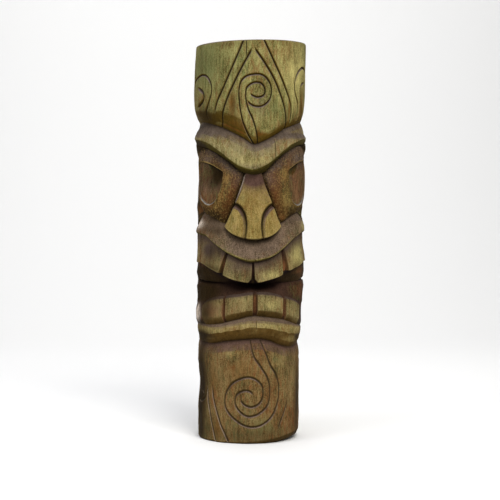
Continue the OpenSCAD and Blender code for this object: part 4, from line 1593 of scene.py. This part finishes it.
    def eye(self, name: str, pairs: tuple[tuple[Places, ...], ...]) -> Piece:
        """An eye: rings of places that shrink to its middle, as deep below its rim as the
        blend between sink_low at the bottom and sink_top at the top, a little domed.

        Args:
            name: the node and piece.
            pairs: the outer and inner places of its rim.

        Returns:
            The piece.
        """
        count = 240
        t = np.arange(count) * len(pairs) / count
        edge = through(np.array([p[1] for p in pairs], float), t, True)[:, None]
        middle = edge.mean(0, keepdims=True)
        share = np.linspace(1.04, 0.03, 36)[None, :, None]
        place = middle + (edge - middle) * share
        low, top = edge[..., 1].min(), edge[..., 1].max()
        tilt = np.clip((place[..., 1] - low) / (top - low), 0.0, 1.0)
        a, z = place[..., 0], place[..., 1]
        d = place[..., 2] + self.sunk(a, tilt)
        d = d - 1.6 * (1.0 - share[..., 0] ** 2) + 0.3 * uneven(a, z, 9.0, 51, 1.8)
        rows, cols = a.shape
        tip = np.array([a[:, -1].mean(), z[:, -1].mean(), d[:, -1].mean()])
        rear = np.array([tip[0], tip[1], tip[2] + 16.0])
        inner = np.arange(rows) * cols + cols - 1
        outer = np.arange(rows) * cols
        size = rows * cols
        fan = np.stack([np.roll(inner, -1), inner, np.full(rows, size)], -1)
        shut = np.stack([outer, np.roll(outer, -1), np.full(rows, size + 1)], -1)
        quads = grid_quads(rows, cols, True, False)
        return Piece(name, (name,), "eye_wood", Finish.EYE.value,
                     np.append(a.ravel(), [tip[0], rear[0]]), np.append(z.ravel(), [tip[1], rear[1]]),
                     np.append(d.ravel(), [tip[2], rear[2]]), [quads, fan[:, ::-1], shut[:, ::-1]],
                     [False, False, True], np.arange(size + 2) <= size, {}, 0.7)

    def pieces(self) -> list[Piece]:
        """The ground, both rims and both eyes.

        Returns:
            The ground, and each rim and eye.
        """
        return [self.carver.band("face_ground", "face_ground", "ground_wood", Finish.GROUND.value, 1.0,
                                 self.ground_rails, (2, 40, 40), 0.5, 0.7, extra=self.sides),
                self.rim("eye_rim_left", self.left), self.rim("eye_rim_right", self.right),
                self.eye("eye_left", self.left), self.eye("eye_right", self.right)]


@dataclass
class Nose:
    """The nose: one flared face from its root to its tip, with a V groove over each nostril."""

    carver: Carver
    left: Places = ((-11.0, 607), (-12.4, 588), (-17.2, 560), (-22.8, 535), (-29.0, 510), (-35.5, 486))
    right: Places = ((11.0, 607), (12.6, 588), (18.0, 560), (22.4, 538), (27.6, 512), (33.5, 487))
    tip: Places = ((-35.5, 486), (-27.5, 473.5), (-18.5, 465), (-9.0, 460.5), (0, 459), (9, 460.5),
                   (18, 465), (26, 474), (33.5, 487))
    ridge: Places = ((455, 3.6), (470, 3.8), (491, 5.2), (508, 7.0), (535, 10.0), (560, 14.0),
                     (588, 21.0), (600, 24.5), (610, 27))
    groove_left: Places = ((-27.0, 536), (-21.0, 534), (-15.5, 526), (-10.8, 511), (-8.8, 494),
                           (-9.0, 477), (-10.5, 456))
    groove_right: Places = ((27, 537), (21, 533), (15.5, 524), (11.0, 511), (9.0, 494), (9.2, 477),
                            (10.8, 456))

    def face(self, u: Array, v: Array, a: Array, z: Array) -> Array:
        """Depth of the nose: its ridge's depth at that height, deeper towards the sides."""
        side = (2.0 * u - 1.0) ** 2
        return outline(self.ridge, z) + side * (1.6 + 3.4 * ease((530.0 - z) / 50.0))

    def pieces(self) -> list[Piece]:
        """The nose's one piece, for the bridge and both nostrils.

        Returns:
            That piece.
        """
        top = np.array([(-10.5, 607), (0.0, 607), (10.5, 607)], float)
        grooves = tuple(Line(g, 7.6, 8.0, (0.0, 0.0), (1.0, 0.6), 1.0)
                        for g in (self.groove_left, self.groove_right))
        # The nose's left wall takes painted light (bleach) and its right wall painted shade (umber).
        return [self.carver.plateau("nose", ("nose_bridge", "nostril_left", "nostril_right"), "nose_wood",
                                    Finish.NOSE.value, self.left, self.right, top,
                                    np.asarray(self.tip, float), self.face, ground,
                                    (9.0, 7.0, 0.0, 3.5), (110, 140), 0.9, 0.35, grooves,
                                    ("bleach", "umber", 0.5), 0.3)]


@dataclass
class UpperLip:
    """The hanging upper lip: a broad slope that faces the sky, and its worn lower edge."""

    carver: Carver
    under: float = 5.0
    slope: Places = ((0, 22, 9.5, 8), (0.3, 15, 4.5), (0.62, 8, 1.2), (0.9, 3.2, 0.2), (1, 2.6, 0))
    checks: tuple[Line, ...] = (
        Line(((1.2, 440), (1.5, 424), (1.3, 408)), 1.0, 2.2, (0.4, 0.0)),
        Line(((37.5, 472), (38.3, 460), (38.0, 448)), 0.8, 1.4, (0.4, 0.2)))

    def rails(self, a: Array) -> Rails:
        """Rails from under the ground down past the lip's edge.

        Args:
            a: angles.

        Returns:
            Its (height, depth) rails.
        """
        v, e = outline(LIP_VALLEY, a), outline(LIP_EDGE, a)
        slope = steps(a, v, e, self.slope)
        return [(v + 5, slope[0][1] + 6 * fade(a)), *slope,
                (e - 1.8, cut(a, 5.0, 0.8)), (e - self.under, cut(a, 15, 3.4))]

    def pieces(self) -> list[Piece]:
        """The lip's one piece."""
        return [self.carver.band("upper_lip", "upper_lip", "lip_wood", Finish.LIP.value, 0.55, self.rails,
                                 (3, 14, 14, 12, 5, 2, 5), 0.8, 0.45, self.checks)]


# The mouth runs out in a crease at each corner.
CORNERS: tuple[Line, ...] = (
    Line(((-98, 363), (-84, 361), (-66, 359), (-44, 358)), 4.2, 7.0, (0.0, 0.6)),
    Line(((98, 367), (88, 366), (74, 363)), 3.4, 5.5, (0.0, 0.6)))


@dataclass
class UpperTeeth:
    """The upper jaw, and six teeth that come forward from under the lip."""

    carver: Carver
    roof: float = 50.0
    creases: tuple[Line, ...] = CORNERS
    notch: float = 12.0
    notch_a: float = -0.8
    walls: tuple[float, float, float, float] = (2.0, 2.0, 0.0, -1.5)
    edges: Places = ((-104, -76, -104, -75), (-73, -34.5, -72, -41.5), (-31, -1.8, -36, -3.0),
                     (0.6, 34, 1.6, 34.5), (38, 71, 43.5, 74.5), (75, 104, 78, 104))

    def rails(self, a: Array) -> Rails:
        """Rails from under the lip, down the teeth's bed, and back to the mouth's crease.

        Args:
            a: angles.

        Returns:
            Its (height, depth) rails.
        """
        e, t, c = outline(LIP_EDGE, a) - 5.0, outline(TOOTH_LINE, a), outline(MOUTH_CREASE, a)
        bed = tooth_bed(a)
        return [(e + 5, bed + 5 * fade(a)), (e, bed), (t + 3, bed), (t - 1, cut(a, 25, 5.5)),
                (c + 0.45 * np.maximum(t - c, 3.0), cut(a, 38, 3.5)), (c, cut(a, self.roof, 8, 5))]

    def face(self, u: Array, v: Array, a: Array, z: Array) -> Array:
        """Depth of a tooth: from 0.8 of its bed's depth to 0.35, easing off as it comes down."""
        return tooth_bed(a) * (0.34 + 0.5 * (1.0 - v) ** 1.7)

    def pieces(self) -> list[Piece]:
        """The jaw and the teeth. A tooth's lower corners are rounded by the ninth power of the
        distance from its middle, and the middle two are notched where they meet.

        Returns:
            The jaw, then the teeth from left to right.
        """
        found = [self.carver.band("upper_jaw", "upper_jaw", "mouth_wood", Finish.MOUTH.value, 0.8,
                                  self.rails, (2, 20, 4, 12, 14), 0.8, 0.5, self.creases)]
        for k, (tl, tr, bl, br) in enumerate(self.edges, 1):
            top_a, low_a = np.linspace(tl, tr, 25), np.linspace(bl, br, 25)
            nick = self.notch * np.clip(1.0 - np.abs(low_a - self.notch_a) / 5.6, 0.0, 1.0)
            round_off = 1.2 * np.abs(np.linspace(-1.0, 1.0, 25)) ** 9
            top = np.stack([top_a, outline(LIP_EDGE, top_a) - 3.5], -1)
            low = np.stack([low_a, outline(TOOTH_LINE, low_a) + nick + round_off], -1)
            found.append(self.carver.tooth(f"upper_tooth_{k}", top, low, self.face, self.walls,
                                           56, 0.8, 0.35))
        return found


@dataclass
class LowerTeeth:
    """The lower jaw, and four teeth with bevelled tops that lean back to the lower lip."""

    carver: Carver
    bevel: float = 0.14
    creases: tuple[Line, ...] = CORNERS
    walls: tuple[float, float, float, float] = (1.8, 1.8, 1.0, 0.0)
    edges: Places = ((-69, -37.5, -67, -37), (-34, -1, -33, -1),
                     (5.2, 37.5, 5.2, 37), (43, 70.5, 43.5, 69))

    def rails(self, a: Array) -> Rails:
        """Rails from the mouth's crease forward to the teeth's bed, and down to the lip.

        Args:
            a: angles.

        Returns:
            Its (height, depth) rails.
        """
        c, t, l = outline(MOUTH_CREASE, a), outline(LOWER_TEETH_TOP, a), outline(LOWER_LIP_TOP, a)
        return [(c + 1, cut(a, 53, 11, 8)), (c - 1, cut(a, 50, 7, 4)),
                (c + 0.25 * (t - c), cut(a, 44, 2.2, 1.0)), (t + 2, cut(a, 25, 1.6, 1.6)),
                (t - 3, cut(a, 21, 3.4, 3.4)), (l + 10, cut(a, 20, 5, 5)), (l - 4, cut(a, 22, 7, 7))]

    def face(self, u: Array, v: Array, a: Array, z: Array) -> Array:
        """Depth of a tooth: a bevel at the top, a flat face, and a lower part that turns in.

        Args:
            u: share of the way across.
            v: share of the way down.
            a: angles.
            z: heights.

        Returns:
            Depths.
        """
        bed = tooth_bed(a)
        top = 0.42 * ease(1.0 - v / self.bevel)
        low = 0.55 * np.clip((v - 0.66) / 0.34, 0.0, 1.0) ** 1.2
        return bed * (0.55 + top + low) + 0.6 * np.abs(2.0 * u - 1.0) ** 4

    def pieces(self) -> list[Piece]:
        """The jaw and the teeth. A tooth's upper corners are rounded by the seventh power of the
        distance from its middle, and the two end teeth's outer corners more.

        Returns:
            The jaw, then the teeth from left to right.
        """
        found = [self.carver.band("lower_jaw", "lower_jaw", "mouth_wood", Finish.MOUTH.value, 0.8,
                                  self.rails, (2, 10, 26, 5, 36, 8), 0.8, 0.5, self.creases)]
        for k, (tl, tr, bl, br) in enumerate(self.edges, 1):
            top_a, low_a = np.linspace(tl, tr, 25), np.linspace(bl, br, 25)
            across = np.linspace(-1.0, 1.0, 25)
            outer = np.maximum(0.0, across if k == 4 else -across if k == 1 else 0.0 * across)
            shoulder = 1.8 * np.abs(across) ** 7 + 6.0 * outer ** 5
            top = np.stack([top_a, outline(LOWER_TEETH_TOP, top_a) - shoulder], -1)
            low = np.stack([low_a, outline(LOWER_LIP_TOP, low_a) - 2.0 + 9.0 * outer ** 6], -1)
            found.append(self.carver.tooth(f"lower_tooth_{k}", top, low, self.face, self.walls,
                                           60, 0.9, 0.4))
        return found


@dataclass
class LowerLip:
    """The lower lip: an upper facet that faces the light, an arris, and a lower facet that
    turns under."""

    carver: Carver
    upper: Places = ((0, 17.5, 6, 5), (0.07, 11.5, 4.8, 3.8), (0.16, 8, 3.6, 3), (0.28, 5.6, 2.6, 2.2))
    lower: Places = ((0.8, 8.8, 3.8, 4.6), (0.92, 12, 6.4, 7.6), (1, 17, 9.5, 9.5))
    checks: tuple[Line, ...] = (Line(((3.0, 284), (3.3, 268), (3.1, 250)), 0.9, 1.8, (0.3, 0.4)),)

    def rails(self, a: Array) -> Rails:
        """Rails from behind the lower teeth down to the lip's foot, the arris wandering between
        the two facets.

        Args:
            a: angles.

        Returns:
            Its (height, depth) rails.
        """
        t, f = outline(LOWER_LIP_TOP, a), outline(LOWER_LIP_FOOT, a)
        along = 250.0 + 0.0 * a
        sway = (0.05 * uneven(a, along, 34.0, 63) + 0.03 * uneven(a, along, 12.0, 62)) * fade(a)
        return [(t + 3, cut(a, 23, 8, 8)), *steps(a, t, f, self.upper),
                (t + (0.47 + sway) * (f - t), cut(a, 3.6, 1.6, 1.6)),
                (t + (0.61 + 0.7 * sway) * (f - t), cut(a, 5.8, 2.4, 2.6)),
                *steps(a, t, f, self.lower)]

    def pieces(self) -> list[Piece]:
        """The lip's one piece."""
        return [self.carver.band("lower_lip", "lower_lip", "lip_wood", Finish.LOWER_LIP.value, 0.55,
                                 self.rails, (2, 4, 5, 7, 11, 8, 9, 8, 6), 0.8, 0.6, self.checks)]


@dataclass
class Chin:
    """The chin panel with its incised spiral, hollowed under the lip, its bottom edge worn."""

    carver: Carver
    edge_r: float = 8.0
    lines: tuple[Line, ...] = (
        Line(((8.5, 233), (14.5, 203), (19.5, 177), (26.5, 156), (30.5, 133), (30.8, 104), (26.5, 77),
              (20.5, 58), (10.5, 43), (-0.5, 38), (-11.5, 43), (-21.5, 56), (-29.5, 73), (-32.8, 93),
              (-31.0, 114), (-24.5, 134), (-14.5, 146), (-4.5, 150), (4.5, 143), (9.8, 131),
              (11.3, 115), (9.6, 98), (4.5, 87), (-2.5, 83), (-9.5, 88), (-13.6, 98), (-13.0, 108),
              (-10.6, 112)), 3.0, 3.2, (0.0, 0.05)),
        Line(((-3.5, 231), (0.5, 198), (7.5, 176), (14.5, 155), (18.5, 135), (19.5, 114), (17.5, 90),
              (11.5, 75), (3.5, 65), (-5.5, 62), (-13.5, 70), (-19.0, 84), (-20.6, 98), (-18.6, 110),
              (-13.0, 118), (-6.5, 120), (-1.5, 115), (0.8, 106)), 3.0, 3.2, (0.0, 0.05)),
        Line(((-51.5, 138), (-50.5, 118), (-49.0, 103), (-45.6, 83), (-42.0, 63), (-38.4, 43), (-33.0, 22),
              (-28.0, 3)), 3.2, 3.2, (0.2, 0.02), outward=0.8),
        Line(((-62.0, 142), (-60.7, 122), (-58.8, 104), (-56.3, 85), (-53.5, 67), (-51.0, 46), (-47.5, 22),
              (-44.5, 2)), 2.9, 2.8, (0.2, 0.02), outward=0.8),
        Line(((-61.5, 124), (-63.4, 104), (-68.0, 92), (-75.0, 87), (-82.0, 92)), 3.0, 3.0, (0.2, 0.15)),
        Line(((-74.5, 113), (-69.5, 108), (-68.5, 101), (-72.0, 96)), 2.0, 1.8, (0.2, 0.3)),
        Line(((46.5, 118), (42.5, 86), (35.5, 55), (28.5, 24)), 2.6, 2.4, (0.35, 0.2)),
        Line(((-62, 214), (-60, 170), (-58, 132)), 1.6, 1.4, (0.2, 0.5)),
        Line(((-71, 205), (-70, 160), (-71, 125)), 1.5, 1.2, (0.2, 0.5)))

    def lift(self, a: Array) -> Array:
        """How far the worn bottom edge stands off the ground: more towards the right."""
        return 11.0 * ease((a - 2.0) / 62.0) * fade(a)

    def rails(self, a: Array) -> Rails:
        """Rails from under the lip down the panel and round its bottom edge, which is chipped by
        the uneven field where that's above 0.

        Args:
            a: angles.

        Returns:
            Its (height, depth) rails.
        """
        f, w = outline(LOWER_LIP_FOOT, a), fade(a)
        r = 3.0 + (self.edge_r - 3.0) * w * ease((a + 40.0) / 60.0)
        up = self.lift(a) + 2.6 * w * np.maximum(0.0, uneven(a, 0.0 * a, 15.0, 71))
        panel = cut(a, 2.6, 0.8, 1.4)
        return [(f + 4, cut(a, 22, 13)), (f, cut(a, 17, 9.5)), (f - 9, cut(a, 11.5, 8.4)),
                (f - 24, cut(a, 5.6, 4.6)), (f - 44, panel), (r + up, panel),
                (0.5 * r + 0.75 * up, panel + 0.14 * r + 1.5 * w * up / 11.0),
                (0.2 * r + 0.4 * up, panel + 0.42 * r + 3.4 * w * up / 11.0),
                (0.0 * a, panel + r + 9.0 * w * up / 11.0)]

    def pieces(self) -> list[Piece]:
        """The chin's one piece."""
        return [self.carver.band("chin", "chin", "chin_wood", Finish.CHIN.value, 0.55, self.rails,
                                 (2, 8, 14, 18, 140, 3, 3, 4), 1.0, 0.7, self.lines)]


# ---------------------------------------------------------------- floor, light and camera

@dataclass(frozen=True)
class Studio:
    """A pale sweep of floor and wall, soft lights, and the camera."""

    distance: float = 3.0
    eye_height: float = 0.536
    aim_height: float = 0.431
    azimuth: float = -4.5
    lens: float = 93.4
    roll: float = 0.35

    def sweep(self) -> bpy.types.Object:
        """The floor, curving up into a wall: a profile of a flat run, a quarter circle and a
        straight rise, carried sideways.

        Returns:
            The floor.
        """
        t = np.linspace(0.0, math.pi / 2.0, 24)
        y = np.concatenate([[-6.0], 2.0 + 2.0 * np.sin(t), [4.0]])
        z = np.concatenate([[0.0], 2.0 - 2.0 * np.cos(t), [6.0]])
        x = np.array([-8.0, 8.0])
        points = np.stack([np.repeat(x, len(y)), np.tile(y, 2), np.tile(z, 2)], -1)
        mesh = bpy.data.meshes.new("studio_floor")
        quads = grid_quads(2, len(y), False, False)[:, ::-1]
        mesh.from_pydata(points.tolist(), [], quads.tolist())
        mesh.polygons.foreach_set("use_smooth", np.ones(len(quads), bool))
        pale = Nodes("pale_floor").finish(Base_Color=(0.93, 0.93, 0.93, 1.0), Roughness=0.9)
        mesh.materials.append(pale)
        floor = bpy.data.objects.new("studio_floor", mesh)
        bpy.context.scene.collection.objects.link(floor)
        floor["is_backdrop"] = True
        return floor

    def light(self, name: str, place: Triple, size: float, power: float, colour: Colour,
              aim: Triple = (0.0, 0.0, 0.45)) -> None:
        """A square soft light that faces the middle of the figure, or the place given.

        Args:
            name: the lamp.
            place: where it hangs, in metres.
            size: length of a side.
            power: watts.
            colour: red, green and blue.
            aim: what it faces.
        """
        data = bpy.data.lights.new(name, "AREA")
        data.size, data.energy, data.color = size, power, colour
        lamp = bpy.data.objects.new(name, data)
        bpy.context.scene.collection.objects.link(lamp)
        lamp.location = place
        lamp.rotation_euler = (Vector(aim) - Vector(place)).to_track_quat("-Z", "Y").to_euler()

    def build(self) -> None:
        """Sets the floor, the lights, the sky and the camera."""
        self.sweep()
        self.light("key_light", (0.8, -2.5, 2.9), 1.7, 92.0, (1.0, 0.98, 0.92))
        self.light("top_light", (-0.2, -0.5, 3.0), 1.4, 28.0, (0.93, 0.94, 1.0))
        self.light("side_light", (-2.6, -1.6, 1.8), 1.6, 25.0, (0.93, 0.96, 1.0))
        self.light("wall_light", (0.0, 1.4, 3.2), 2.4, 46.0, (1.0, 1.0, 1.0), (0.0, 4.0, 0.6))
        world = bpy.data.worlds.new("studio_sky")
        world.use_nodes = True
        world.node_tree.nodes["Background"].inputs["Color"].default_value = (1.0, 1.0, 1.0, 1.0)
        world.node_tree.nodes["Background"].inputs["Strength"].default_value = 0.25
        scene = bpy.context.scene
        scene.world = world
        scene.view_settings.view_transform = "Standard"
        data = bpy.data.cameras.new("camera")
        data.lens, data.sensor_width = self.lens, 36.0
        camera = bpy.data.objects.new("camera", data)
        scene.collection.objects.link(camera)
        a = self.azimuth * DEG
        camera.location = (self.distance * math.sin(a), -self.distance * math.cos(a), self.eye_height)
        aim = Vector((0.0, 0.0, self.aim_height)) - camera.location
        turn = aim.to_track_quat("-Z", "Y").to_matrix().to_4x4() @ Matrix.Rotation(self.roll * DEG, 4, "Z")
        camera.rotation_euler = turn.to_euler()
        scene.camera = camera


def main() -> None:
    """Builds every form in order, works out the depth map that the painted shade and the worn edges follow,
    and makes the objects.
    """
    logging.basicConfig(level=logging.INFO, format="%(name)s %(message)s")
    the_log = Log()
    carver = Carver(the_log)
    parts = (LogBack(carver), Crown(carver), Brow(carver), Eyes(carver), Nose(carver),
             UpperLip(carver), UpperTeeth(carver), LowerTeeth(carver), LowerLip(carver), Chin(carver))
    pieces = [piece for part in parts for piece in part.pieces()]
    hollows = HollowMap(pieces)
    for piece in pieces:
        make_object(piece, the_log, hollows.marks(piece))
    Studio().build()
    sizes = {"cad": [list(map(float, c)) for c in cad_box],
             "visual": [list(map(float, c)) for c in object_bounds()]}
    log.info("sizes %s", sizes)


if __name__ == "__main__":
    main()
